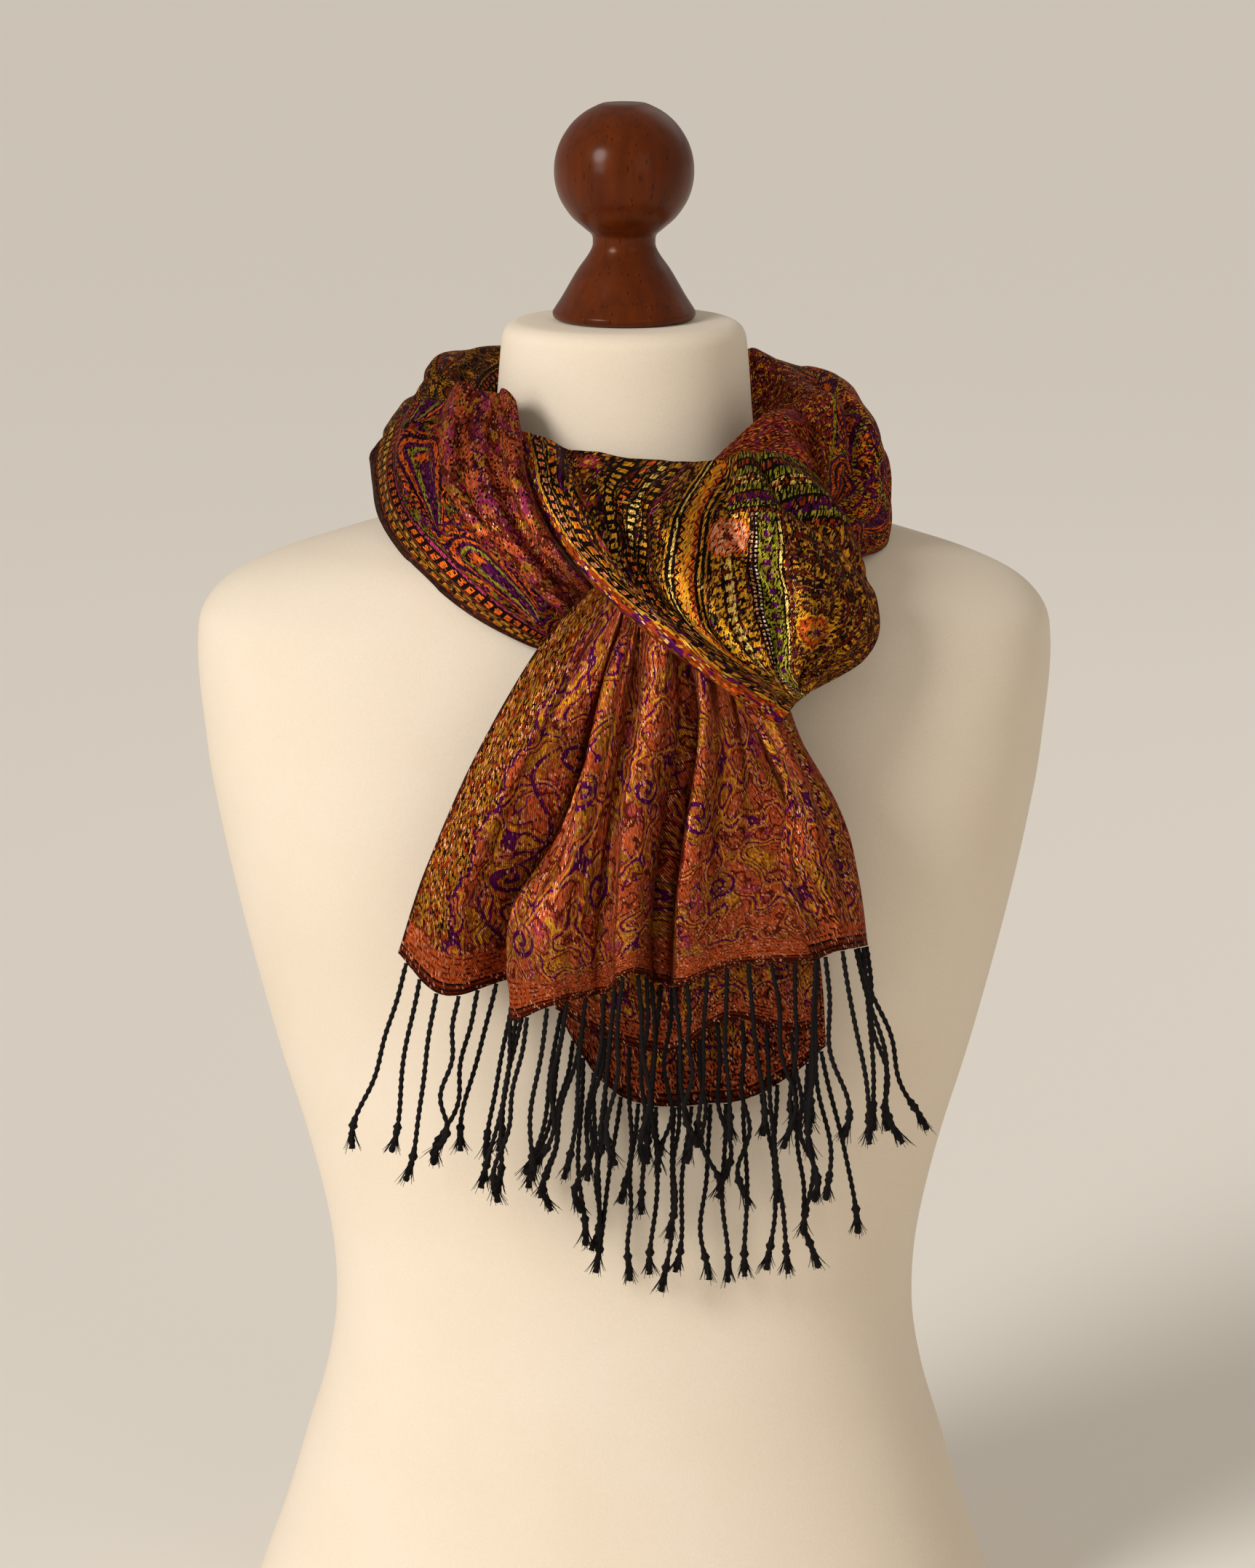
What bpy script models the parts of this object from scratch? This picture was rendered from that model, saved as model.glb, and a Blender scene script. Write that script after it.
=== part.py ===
"""A silk shawl looped round the neck of a limbless dress form with a turned wooden cap.

The shawl is one woven cloth, folded in half along its length. Its fold makes a loop at the
front, and both ends are drawn through the loop and hang as fluted tails with a twisted
fringe. Each stretch that shows is a thin wall of its own. The form stands on its flat base.
The tables are in millimetres, +Z is up and the front of the form looks along -Y.
"""

import math
from typing import NamedTuple

import bmesh
import bpy
import numpy as np
from mathutils import Vector

MM = 0.001
TWO_PI = 2 * math.pi

# Cloth
WALL = 1.5                 # thickness of a wall of folded cloth
FORM_CLEARANCE = 1.3       # from the middle of a wall to the form that it rests on
SEAM = 0.3                 # gap where one piece meets another
BACKING_GAP = 1.1          # gap between a hem and the strip of its fringe

# Dress form
FORM_COLUMNS = 32

# Turned cap
CAP_COLUMNS = 22
CAP_SEAT = 606.0 + SEAM    # its underside, just above the top of the neck

# Fringe
STRAND_SIDES = 3
BACKING_DEPTH = 3.2        # height of the strip that the strands are knotted into
STRAND_CROWDING = 0.55     # share of its swing that a strand keeps near its neighbours


class Point(NamedTuple):
    """A place in millimetres."""

    x: float
    y: float
    z: float


class Ring(NamedTuple):
    """One level section of the dress form."""

    z: float
    half_width: float
    front: float
    back: float
    squareness: float


class Turning(NamedTuple):
    """One step of the turned cap's profile, above its underside."""

    height: float
    radius: float


class Section(NamedTuple):
    """A section across a stretch that arches round the neck."""

    inner: Point
    crest: Point
    outer: Point


class TailLine(NamedTuple):
    """The line of one ridge or valley down a hanging tail."""

    top: Point
    upper: Point
    middle: Point
    lower: Point
    hem: Point


class LoopLine(NamedTuple):
    """The line of one pleat of the front loop, from the neck down to where it gathers."""

    neck: Point
    brow: Point
    upper: Point
    middle: Point
    lower: Point
    roll: Point
    gather: Point


class Fold(NamedTuple):
    """A fold along a stretch: its place across at both ends, its height at both and width."""

    start_at: float
    end_at: float
    start_rise: float
    end_rise: float
    width: float


class Fringe(NamedTuple):
    """The fringe of one hem: its strands, their length and how they hang."""

    count: int
    shortest: float
    longest: float
    lean_first: float
    lean_last: float
    swing: float
    front_limit: float
    seed: int


FORM_RINGS = [
    Ring(0.0, 176.0, 110.0, 112.0, 2.1),
    Ring(30.0, 166.0, 106.0, 108.0, 2.1),
    Ring(58.0, 156.0, 102.0, 102.0, 2.1),
    Ring(90.0, 146.5, 97.0, 92.0, 2.1),
    Ring(118.0, 138.0, 93.0, 82.0, 2.1),
    Ring(146.0, 133.0, 90.0, 75.0, 2.1),
    Ring(174.0, 133.0, 89.0, 73.0, 2.1),
    Ring(201.0, 137.0, 90.0, 75.0, 2.1),
    Ring(236.0, 145.5, 94.0, 80.0, 2.2),
    Ring(274.0, 157.0, 101.0, 87.0, 2.2),
    Ring(318.0, 168.5, 107.0, 95.0, 2.3),
    Ring(359.0, 178.0, 110.0, 102.0, 2.4),
    Ring(400.0, 186.0, 107.0, 106.0, 2.5),
    Ring(423.0, 189.0, 103.0, 106.0, 2.5),
    Ring(446.0, 191.5, 98.0, 104.0, 2.5),
    Ring(463.0, 192.0, 92.5, 101.0, 2.4),
    Ring(477.0, 189.5, 87.0, 97.0, 2.3),
    Ring(490.0, 178.0, 81.0, 92.0, 2.1),
    Ring(500.0, 158.0, 76.0, 87.0, 2.0),
    Ring(508.0, 134.0, 71.5, 82.0, 1.9),
    Ring(516.0, 107.0, 67.0, 77.0, 1.9),
    Ring(524.0, 85.0, 63.0, 72.0, 1.9),
    Ring(533.0, 69.5, 59.5, 68.0, 2.0),
    Ring(544.0, 61.5, 56.5, 64.0, 2.0),
    Ring(558.0, 58.0, 54.0, 61.0, 2.0),
    Ring(576.0, 56.5, 52.0, 58.5, 2.0),
    Ring(595.0, 55.0, 50.5, 57.0, 2.0),
    Ring(601.5, 53.5, 49.0, 55.5, 2.0),
    Ring(605.0, 49.5, 45.0, 51.5, 2.0),
    Ring(606.0, 44.0, 40.0, 46.0, 2.0),
]

CAP_PROFILE = [
    Turning(0.0, 29.5),
    Turning(1.0, 31.3),
    Turning(3.0, 32.0),
    Turning(5.0, 31.0),
    Turning(11.0, 27.2),
    Turning(17.0, 23.8),
    Turning(22.7, 20.4),
    Turning(28.0, 16.6),
    Turning(32.0, 14.4),
    Turning(35.0, 14.0),
    Turning(38.0, 14.6),
    Turning(41.0, 18.0),
    Turning(46.0, 23.5),
    Turning(53.0, 28.2),
    Turning(60.0, 30.6),
    Turning(66.5, 31.2),
    Turning(73.0, 30.5),
    Turning(80.0, 28.1),
    Turning(87.0, 23.5),
    Turning(92.0, 18.0),
    Turning(95.0, 12.6),
    Turning(96.1, 10.0),
]

BACK_WRAP = [
    Section(Point(54, 56, 557), Point(78, 74, 556), Point(82, 78, 510)),
    Section(Point(44, 62, 567), Point(70, 88, 560), Point(72, 88, 494)),
    Section(Point(26, 69, 573), Point(38, 102, 557), Point(40, 96, 484)),
    Section(Point(0, 72, 575), Point(0, 110, 556), Point(0, 97, 480)),
    Section(Point(-28, 70, 575), Point(-42, 104, 558), Point(-44, 94, 483)),
    Section(Point(-52, 54, 571), Point(-80, 80, 565), Point(-82, 80, 492)),
    Section(Point(-63, 30, 565), Point(-96, 44, 570), Point(-107, 50, 507)),
    Section(Point(-66, 4, 555), Point(-87, 10, 564), Point(-103, 13, 528)),
    Section(Point(-65, -18, 550), Point(-79, -18, 552), Point(-93, -14, 530)),
]

BACK_WRAP_FOLDS = [
    Fold(0.20, 0.16, -3.0, -3.0, 0.06),
    Fold(0.38, 0.34, 3.0, 2.0, 0.07),
    Fold(0.54, 0.50, -4.0, -3.0, 0.06),
    Fold(0.70, 0.74, 4.0, 3.0, 0.07),
    Fold(0.86, 0.88, -3.0, -2.0, 0.06),
]

LEFT_WRAP = [
    Section(Point(-47.5, -56, 577), Point(-81, -14, 573.5), Point(-114.5, 8, 542)),
    Section(Point(-45, -76, 562), Point(-84, -44, 560), Point(-112.5, -8, 532)),
    Section(Point(-41.5, -94, 547), Point(-79.5, -72, 544), Point(-108, -30, 520)),
    Section(Point(-33.5, -106, 529), Point(-66, -94, 527), Point(-96, -53, 506.5)),
    Section(Point(-24, -112, 515.5), Point(-48, -106, 509.5), Point(-71.5, -79, 490)),
    Section(Point(-15.5, -108, 506.5), Point(-30, -108, 495.5), Point(-46, -94, 478)),
    Section(Point(-10.5, -105, 500.5), Point(-19.5, -105.5, 488.5), Point(-30.5, -98, 473)),
]

LEFT_WRAP_FOLDS = [
    Fold(0.09, 0.14, 4.0, 2.0, 0.065),
    Fold(0.22, 0.34, -4.0, -2.0, 0.06),
    Fold(0.37, 0.50, 5.0, 2.0, 0.06),
    Fold(0.50, 0.62, -4.0, -1.5, 0.055),
    Fold(0.61, 0.74, 3.5, 1.5, 0.06),
]

RIGHT_WRAP = [
    Section(Point(46, 56, 570), Point(80, 92, 566), Point(82, 95, 495)),
    Section(Point(60, 36, 563), Point(99, 50, 568), Point(107, 58, 511)),
    Section(Point(68, 12, 562), Point(106, 16, 563), Point(115, 20, 516)),
    Section(Point(83, -8, 568), Point(111, -10, 555), Point(117, -12, 516)),
    Section(Point(87, -34, 554), Point(110, -34, 536), Point(115, -32, 508.5)),
    Section(Point(87.5, -58, 541), Point(99, -57.5, 524), Point(104, -55, 508)),
]

RIGHT_WRAP_FOLDS = [
    Fold(0.16, 0.20, 2.0, 3.0, 0.06),
    Fold(0.34, 0.36, -3.0, -4.0, 0.06),
    Fold(0.50, 0.54, 3.5, 3.5, 0.07),
    Fold(0.68, 0.72, -3.0, -2.0, 0.06),
]

RIGHT_FOLD = [
    Section(Point(95, -8, 545), Point(95, -26, 535), Point(93, -40, 524)),
    Section(Point(87, -14, 556), Point(89, -34, 544), Point(88, -46, 533)),
    Section(Point(78, -24, 567), Point(81, -43, 555), Point(82, -58, 540)),
    Section(Point(67, -38, 571), Point(75, -54, 561), Point(78.5, -64, 543.5)),
    Section(Point(58, -52, 568), Point(65, -63, 559), Point(67.5, -67, 547)),
    Section(Point(48.5, -62, 561), Point(53, -68, 555.5), Point(56, -69, 548)),
    Section(Point(38, -68, 557.5), Point(41.5, -69, 554), Point(44, -69, 550.5)),
]

RIGHT_FOLD_FOLDS = [
    Fold(0.45, 0.40, -3.0, -1.0, 0.14),
    Fold(0.72, 0.70, 2.5, 0.5, 0.12),
]

LOOP = [
    LoopLine(Point(-50, -54, 565), Point(-44, -80, 549.5), Point(-35.5, -94, 532),
             Point(-16.5, -113, 510), Point(7, -134, 492), Point(41, -146, 468.5),
             Point(65, -148, 451.5)),
    LoopLine(Point(-38, -62, 563), Point(-27, -98, 549.5), Point(-13.5, -118, 530.5),
             Point(2, -132, 510.5), Point(21.5, -146, 493.5), Point(47.5, -153.5, 471.5),
             Point(67.5, -152, 454)),
    LoopLine(Point(-18.5, -67, 557), Point(-6.5, -90, 542.5), Point(3, -108, 523),
             Point(13, -128, 505), Point(31, -144.5, 490), Point(53.5, -151.5, 474),
             Point(70, -150.5, 457)),
    LoopLine(Point(15, -72, 553.5), Point(17, -110, 538.5), Point(24, -128, 521),
             Point(31.5, -140, 502.5), Point(42, -148, 487), Point(58, -152, 473.5),
             Point(72, -151, 459.5)),
    LoopLine(Point(39.5, -72, 553.5), Point(41.5, -98, 539), Point(48, -116, 523),
             Point(56, -130, 506.5), Point(61.5, -140, 490.5), Point(66, -148, 473),
             Point(74, -149.5, 461.5)),
    LoopLine(Point(56.5, -76, 558.5), Point(67, -111, 540), Point(77, -129, 520.5),
             Point(81, -136, 502), Point(79, -142, 487), Point(75, -147, 472.5),
             Point(76.5, -148, 463)),
    LoopLine(Point(74.5, -70, 554), Point(88.5, -92, 534), Point(97.5, -106, 512.5),
             Point(100, -114, 494.5), Point(93.5, -124, 480.5), Point(83.5, -138, 471.5),
             Point(78.5, -145, 464.5)),
    LoopLine(Point(85.5, -66, 544.5), Point(98.5, -78, 522), Point(108, -84, 502),
             Point(111, -92, 482.5), Point(104.5, -106, 472), Point(91.5, -126, 467.5),
             Point(81, -140, 465.5)),
]

FRONT_TAIL = [
    TailLine(Point(-11.5, -114.5, 507.5), Point(-37.5, -124, 479.5), Point(-65.5, -132, 431),
             Point(-85.5, -136, 385.5), Point(-98, -134, 347.5)),
    TailLine(Point(-4, -115, 503), Point(-29, -134, 460), Point(-49.5, -144, 421),
             Point(-68.5, -150, 377), Point(-77.5, -148, 332)),
    TailLine(Point(1.5, -116, 499), Point(-11.5, -125, 453.5), Point(-21.5, -127.5, 411),
             Point(-40.5, -128, 370), Point(-46, -127.5, 335)),
    TailLine(Point(2.5, -118, 497), Point(-9.5, -132, 447), Point(-26, -140, 400.5),
             Point(-47, -148, 366.5), Point(-48.5, -150, 321.5)),
    TailLine(Point(5, -122, 496), Point(-3.5, -140, 468), Point(-14.5, -149, 415.5),
             Point(-27.5, -156, 359.5), Point(-29, -154, 330.5)),
    TailLine(Point(9.5, -125, 491.5), Point(4.5, -136, 451), Point(-2, -143, 412),
             Point(-6.5, -146, 360), Point(-8, -142, 331.5)),
    TailLine(Point(18, -131, 486), Point(16, -146, 453), Point(9.5, -153, 410),
             Point(5.5, -157, 369), Point(3, -155, 343.5)),
    TailLine(Point(27.5, -126, 477), Point(30.5, -127, 443), Point(24, -127.5, 402),
             Point(19.5, -127.5, 365.5), Point(18, -127.5, 331.5)),
    TailLine(Point(33.5, -128, 473.5), Point(35.5, -137, 445), Point(30.5, -146, 402),
             Point(26.5, -149, 364), Point(26, -147, 337)),
    TailLine(Point(40, -128, 470), Point(46, -133, 444), Point(47.5, -137, 400),
             Point(48, -139, 368), Point(48.5, -137, 343)),
    TailLine(Point(47.5, -127, 467), Point(58.5, -129, 438.5), Point(70.5, -132, 405.5),
             Point(73, -133, 370), Point(80.5, -131, 343.5)),
]

SIDE_TAIL = [
    TailLine(Point(44, -133, 471), Point(57, -138, 448), Point(69.5, -144, 420),
             Point(67.5, -146, 386), Point(82.5, -144, 347)),
    TailLine(Point(53.5, -136, 468.5), Point(65, -149, 446.5), Point(77, -156, 418.5),
             Point(80, -161, 389.5), Point(91.5, -157, 354)),
    TailLine(Point(62, -136, 464.5), Point(71.5, -148, 443.5), Point(84, -152, 414),
             Point(91, -154, 388), Point(99.5, -150, 353.5)),
    TailLine(Point(68.5, -133, 460), Point(76, -136, 440.5), Point(91.5, -136, 411),
             Point(99.5, -136, 383.5), Point(105, -133, 350.5)),
    TailLine(Point(68.5, -126, 457), Point(73.5, -125, 436), Point(89.5, -123, 406.5),
             Point(97, -121, 378.5), Point(101.5, -119, 346.5)),
]

BACK_TAIL = [
    TailLine(Point(-12, -110.5, 443), Point(-19.5, -111.5, 401.5), Point(-25, -111.5, 365.5),
             Point(-27.5, -111.5, 339.5), Point(-28, -110.5, 313.5)),
    TailLine(Point(-2.5, -113.5, 444), Point(-10, -114.5, 402), Point(-14.5, -114.5, 366.5),
             Point(-16.5, -114.5, 330.5), Point(-16, -114.5, 293)),
    TailLine(Point(7, -110.5, 443), Point(2, -111.5, 401.5), Point(-1.5, -111.5, 365.5),
             Point(-2.5, -109.5, 322.5), Point(-2, -108.5, 277)),
    TailLine(Point(16.5, -113.5, 444), Point(14, -114.5, 402), Point(13.5, -114.5, 366.5),
             Point(14, -114.5, 320.5), Point(15, -115.5, 274)),
    TailLine(Point(27.5, -110.5, 443), Point(29, -111.5, 401.5), Point(31, -111.5, 365.5),
             Point(33, -109.5, 319.5), Point(34.5, -107.5, 272.5)),
    TailLine(Point(37, -113.5, 444), Point(43.5, -114.5, 402), Point(48, -114.5, 366.5),
             Point(51.5, -114.5, 320.5), Point(53, -115.5, 277)),
    TailLine(Point(46.5, -110.5, 443), Point(57, -111.5, 401.5), Point(65, -111.5, 365.5),
             Point(69.5, -109.5, 326), Point(72.5, -108.5, 285)),
    TailLine(Point(54.5, -112.5, 443.5), Point(70, -113.5, 402), Point(81.5, -114.5, 366.5),
             Point(86.5, -114.5, 330.5), Point(88.5, -113.5, 300.5)),
]

BACK_FOLD = [
    TailLine(Point(-18.5, -115.5, 441.5), Point(-22.5, -116, 402.5), Point(-25.5, -116, 367),
             Point(-28.5, -116, 341), Point(-30, -116, 318)),
    TailLine(Point(-2.5, -118, 442), Point(-5.5, -119.5, 403.5), Point(-6.5, -120, 368),
             Point(-5, -120, 334), Point(-2.5, -120, 304)),
    TailLine(Point(18, -115.5, 441.5), Point(19, -116, 402.5), Point(20.5, -116, 367),
             Point(21.5, -116, 331), Point(23, -116, 298.5)),
    TailLine(Point(32, -118, 442), Point(37, -119.5, 403.5), Point(41, -120, 368),
             Point(44, -120, 338.5), Point(45, -120, 314.5)),
    TailLine(Point(44.5, -115.5, 441.5), Point(56, -116, 402.5), Point(64.5, -116, 367),
             Point(70, -116, 334.5), Point(72, -116, 308)),
    TailLine(Point(52.5, -117, 441.5), Point(66.5, -118, 403), Point(78, -118, 367.5),
             Point(84, -118, 338), Point(86, -118, 311.5)),
]

FRONT_FRINGE = Fringe(30, 70.0, 84.0, -0.22, 0.06, 1.8, -128.0, 4)
SIDE_FRINGE = Fringe(8, 78.0, 88.0, 0.06, 0.22, 2.0, -121.0, 8)
BACK_FRINGE = Fringe(18, 74.0, 88.0, -0.08, 0.10, 2.0, -110.0, 3)
BACK_FOLD_FRINGE = Fringe(12, 70.0, 84.0, -0.16, 0.14, 1.6, -122.0, 11)

STRAND_PROFILE = [
    Turning(0.00, 1.1),
    Turning(0.22, 1.1),
    Turning(0.42, 1.1),
    Turning(0.62, 1.1),
    Turning(0.82, 1.1),
    Turning(0.87, 1.9),
    Turning(0.90, 1.3),
    Turning(1.00, 2.3),
]


def smooth_rows(rows, at):
    """Catmull-Rom curve through the rows of an array, at places from 0 to 1."""
    rows = np.asarray(rows, float)
    last = len(rows) - 1
    place = np.clip(np.asarray(at, float), 0, 1) * last
    index = np.minimum(place.astype(int), last - 1)
    share = (place - index).reshape((-1,) + (1,) * (rows.ndim - 1))
    at_first = (index == 0).reshape(share.shape)
    at_last = (index == last - 1).reshape(share.shape)
    start, end = rows[index], rows[index + 1]
    before = np.where(at_first, 2 * start - end, rows[np.maximum(index - 1, 0)])
    after = np.where(at_last, 2 * end - start, rows[np.minimum(index + 2, last)])
    return 0.5 * (
        2 * start
        + (end - before) * share
        + (2 * before - 5 * start + 4 * end - after) * share**2
        + (3 * start - before - 3 * end + after) * share**3
    )


def unit(vectors):
    """The vectors at length 1."""
    return vectors / np.maximum(np.linalg.norm(vectors, axis=-1, keepdims=True), 1e-9)


def form_value(points):
    """Below 0 inside the dress form and above 0 outside, as a share of its radius."""
    heights = [ring.z for ring in FORM_RINGS]
    half, front, back, power = (
        np.interp(points[:, 2], heights, [getattr(ring, name) for ring in FORM_RINGS])
        for name in ("half_width", "front", "back", "squareness")
    )
    depth = np.where(points[:, 1] < 0, front, back)
    across = np.abs(points[:, 0]) / half
    along = np.abs(points[:, 1]) / depth
    return (across**power + along**power) ** (1 / power) - 1


def clear_of_form(points, clearance=FORM_CLEARANCE, step=0.4):
    """The points, with those nearer the form than the clearance moved out to it."""
    flat = points.reshape(-1, 3).copy()
    for _ in range(8):
        slope = np.stack(
            [
                (form_value(flat + shift) - form_value(flat - shift)) / (2 * step)
                for shift in step * np.eye(3)
            ],
            axis=1,
        )
        steepness = np.maximum(np.linalg.norm(slope, axis=1), 1e-6)
        short = clearance - form_value(flat) / steepness
        flat += slope * (np.clip(short, 0, 12.0) / steepness)[:, None]
    return flat.reshape(points.shape)


def arched_points(sections, folds, across, along, roundness):
    """A stretch round the neck: arched sections, with rounded folds along them.

    Between a flat arch (roundness 0) and a half-round one (roundness 1), each section
    runs from its inner edge over its crest to its outer edge.
    """
    t = np.linspace(0, 1, along)
    s = np.linspace(0, 1, across)
    inner, crest, outer = np.moveaxis(smooth_rows(sections, t), 1, 0)
    middle = (inner + outer) / 2
    reach = -roundness * np.cos(math.pi * s) + (1 - roundness) * (2 * s - 1)
    lift = roundness * np.sin(math.pi * s) + (1 - roundness) * 4 * s * (1 - s)
    points = (
        middle[:, None]
        + (outer - middle)[:, None] * reach[None, :, None]
        + (crest - middle)[:, None] * lift[None, :, None]
    )
    normal = unit(np.cross(np.gradient(points, axis=0), np.gradient(points, axis=1)))
    if (normal * (crest - middle)[:, None]).sum() < 0:
        normal = -normal
    for fold in folds:
        centre = fold.start_at + (fold.end_at - fold.start_at) * t
        rise = fold.start_rise + (fold.end_rise - fold.start_rise) * t
        ridge = np.exp(-(((s[None, :] - centre[:, None]) / fold.width) ** 2))
        points = points + normal * (rise[:, None] * ridge)[..., None]
    return clear_of_form(points)


def draped_points(lines, per_line, per_point):
    """A sheet hung on fold lines: smooth along each line, and from each line to the next."""
    net = np.asarray(lines, float)
    s = np.linspace(0, 1, (net.shape[0] - 1) * per_line + 1)
    t = np.linspace(0, 1, (net.shape[1] - 1) * per_point + 1)
    drawn = smooth_rows(np.moveaxis(net, 1, 0), t)
    return clear_of_form(np.moveaxis(smooth_rows(np.moveaxis(drawn, 1, 0), s), 1, 0))


def grid_faces(rows, columns):
    """Four-sided faces between the points of a grid."""
    index = np.arange(rows * columns).reshape(rows, columns)
    corners = [index[:-1, :-1], index[:-1, 1:], index[1:, 1:], index[1:, :-1]]
    return np.stack(corners, axis=-1).reshape(-1, 4)


def material_of(name, colour, roughness, sheen=0.0):
    """A plain material."""
    material = bpy.data.materials.new(name)
    material.use_nodes = True
    shader = material.node_tree.nodes["Principled BSDF"]
    shader.inputs["Base Color"].default_value = (*colour, 1.0)
    shader.inputs["Roughness"].default_value = roughness
    shader.inputs["Metallic"].default_value = 0.0
    shader.inputs["Sheen Weight"].default_value = sheen
    return material


def object_of(name, points, faces, material, collection):
    """A mesh object in the collection, from points in millimetres."""
    mesh = bpy.data.meshes.new(name)
    mesh.from_pydata((np.asarray(points) * MM).tolist(), [], faces)
    mesh.materials.append(material)
    mesh.shade_smooth()
    made = bpy.data.objects.new(name, mesh)
    collection.objects.link(made)
    return made


def wall_of(name, points, material, collection):
    """A cloth wall of even thickness through the middle of a grid of points."""
    faces = grid_faces(*points.shape[:2]).tolist()
    wall = object_of(name, points.reshape(-1, 3), faces, material, collection)
    solidify = wall.modifiers.new("wall", "SOLIDIFY")
    solidify.thickness = WALL * MM
    solidify.offset = 0.0
    return wall


def lathe_of(name, rings, material, collection):
    """A closed body through level rings of points, from the lowest to the highest."""
    count = rings.shape[1]
    closed = np.concatenate([rings, rings[:, :1]], axis=1)
    index = np.arange(rings.shape[0] * count).reshape(rings.shape[:2])
    index = np.concatenate([index, index[:, :1]], axis=1)
    corners = [index[:-1, :-1], index[:-1, 1:], index[1:, 1:], index[1:, :-1]]
    sides = np.stack(corners, axis=-1).reshape(-1, 4).tolist()
    bottom = index[0, :-1][::-1].tolist()
    top = index[-1, :-1].tolist()
    points = closed[:, :-1].reshape(-1, 3)
    return object_of(name, points, sides + [bottom, top], material, collection)


def form_body(material, collection):
    """The dress form, through its level sections."""
    angle = np.arange(FORM_COLUMNS) / FORM_COLUMNS * TWO_PI
    rings = []
    for ring in FORM_RINGS:
        power = 2 / ring.squareness
        depth = np.where(np.sin(angle) < 0, ring.front, ring.back)
        x = ring.half_width * np.sign(np.cos(angle)) * np.abs(np.cos(angle)) ** power
        y = depth * np.sign(np.sin(angle)) * np.abs(np.sin(angle)) ** power
        rings.append(np.stack([x, y, np.full_like(x, ring.z)], axis=1))
    return lathe_of("form_torso", np.array(rings), material, collection)


def cap_body(material, collection):
    """The turned wooden cap on the neck: its profile, turned by a Screw modifier."""
    outline = [Vector((step.radius, 0, step.height)) for step in reversed(CAP_PROFILE)]
    outline = [Vector((0, 0, outline[0].z))] + outline + [Vector((0, 0, 0))]
    edges = [(index, index + 1) for index in range(len(outline) - 1)]
    mesh = bpy.data.meshes.new("form_cap")
    mesh.from_pydata([point * MM for point in outline], edges, [])
    mesh.materials.append(material)
    cap = bpy.data.objects.new("form_cap", mesh)
    cap.location = (0, 0, CAP_SEAT * MM)
    collection.objects.link(cap)
    screw = cap.modifiers.new("turning", "SCREW")
    screw.steps = CAP_COLUMNS
    screw.render_steps = CAP_COLUMNS
    screw.use_merge_vertices = True
    screw.merge_threshold = 0.00005
    return cap


def strand_paths(fringe):
    """The way that each strand of a fringe hangs below its root."""
    chance = np.random.default_rng(fringe.seed)
    share = np.array([step.height for step in STRAND_PROFILE])
    place = np.linspace(0, 1, fringe.count)
    length = chance.uniform(fringe.shortest, fringe.longest, fringe.count)
    lean = fringe.lean_first + (fringe.lean_last - fringe.lean_first) * place
    phase = 2.4 * place * fringe.count * STRAND_CROWDING + chance.uniform(0, 1, fringe.count)
    bend = chance.uniform(0.7, 1.3, fringe.count)
    paths = []
    for index in range(fringe.count):
        wave = np.sin(TWO_PI * 0.8 * bend[index] * share + phase[index])
        wave = (wave - wave[0]) * fringe.swing * share
        side = lean[index] * length[index] * share + wave
        depth = 0.4 * fringe.swing * np.cos(phase[index]) * share**2
        paths.append(np.stack([side, depth, -length[index] * share], axis=1))
    return paths


def strand_mesh(name, paths, material, collection):
    """The strands along the paths, as bevelled curves made into one closed mesh."""
    section = bpy.data.curves.new(name + "_section", "CURVE")
    section.dimensions = "2D"
    outline = section.splines.new("POLY")
    outline.points.add(STRAND_SIDES - 1)
    outline.use_cyclic_u = True
    for side, point in enumerate(outline.points):
        angle = -TWO_PI * side / STRAND_SIDES
        point.co = (math.cos(angle) * MM, math.sin(angle) * MM, 0, 1)
    section_object = bpy.data.objects.new(name + "_section", section)
    collection.objects.link(section_object)
    curve = bpy.data.curves.new(name + "_curve", "CURVE")
    curve.dimensions = "3D"
    curve.bevel_mode = "OBJECT"
    curve.bevel_object = section_object
    curve.use_fill_caps = True
    for path in paths:
        spline = curve.splines.new("POLY")
        spline.points.add(len(path) - 1)
        for point, place, step in zip(spline.points, path, STRAND_PROFILE):
            point.co = (*(place * MM), 1)
            point.radius = step.radius
    drawn = bpy.data.objects.new(name + "_curve", curve)
    collection.objects.link(drawn)
    bpy.context.view_layer.update()
    graph = bpy.context.evaluated_depsgraph_get()
    mesh = bpy.data.meshes.new_from_object(drawn.evaluated_get(graph))
    bpy.data.objects.remove(drawn)
    bpy.data.objects.remove(section_object)
    welded = bmesh.new()
    welded.from_mesh(mesh)
    bmesh.ops.remove_doubles(welded, verts=welded.verts, dist=0.00001)
    bmesh.ops.recalc_face_normals(welded, faces=welded.faces)
    welded.to_mesh(mesh)
    welded.free()
    mesh.materials.clear()
    mesh.materials.append(material)
    strands = bpy.data.objects.new(name, mesh)
    strands.hide_render = True
    strands.display_type = "WIRE"
    collection.objects.link(strands)
    return strands


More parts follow.
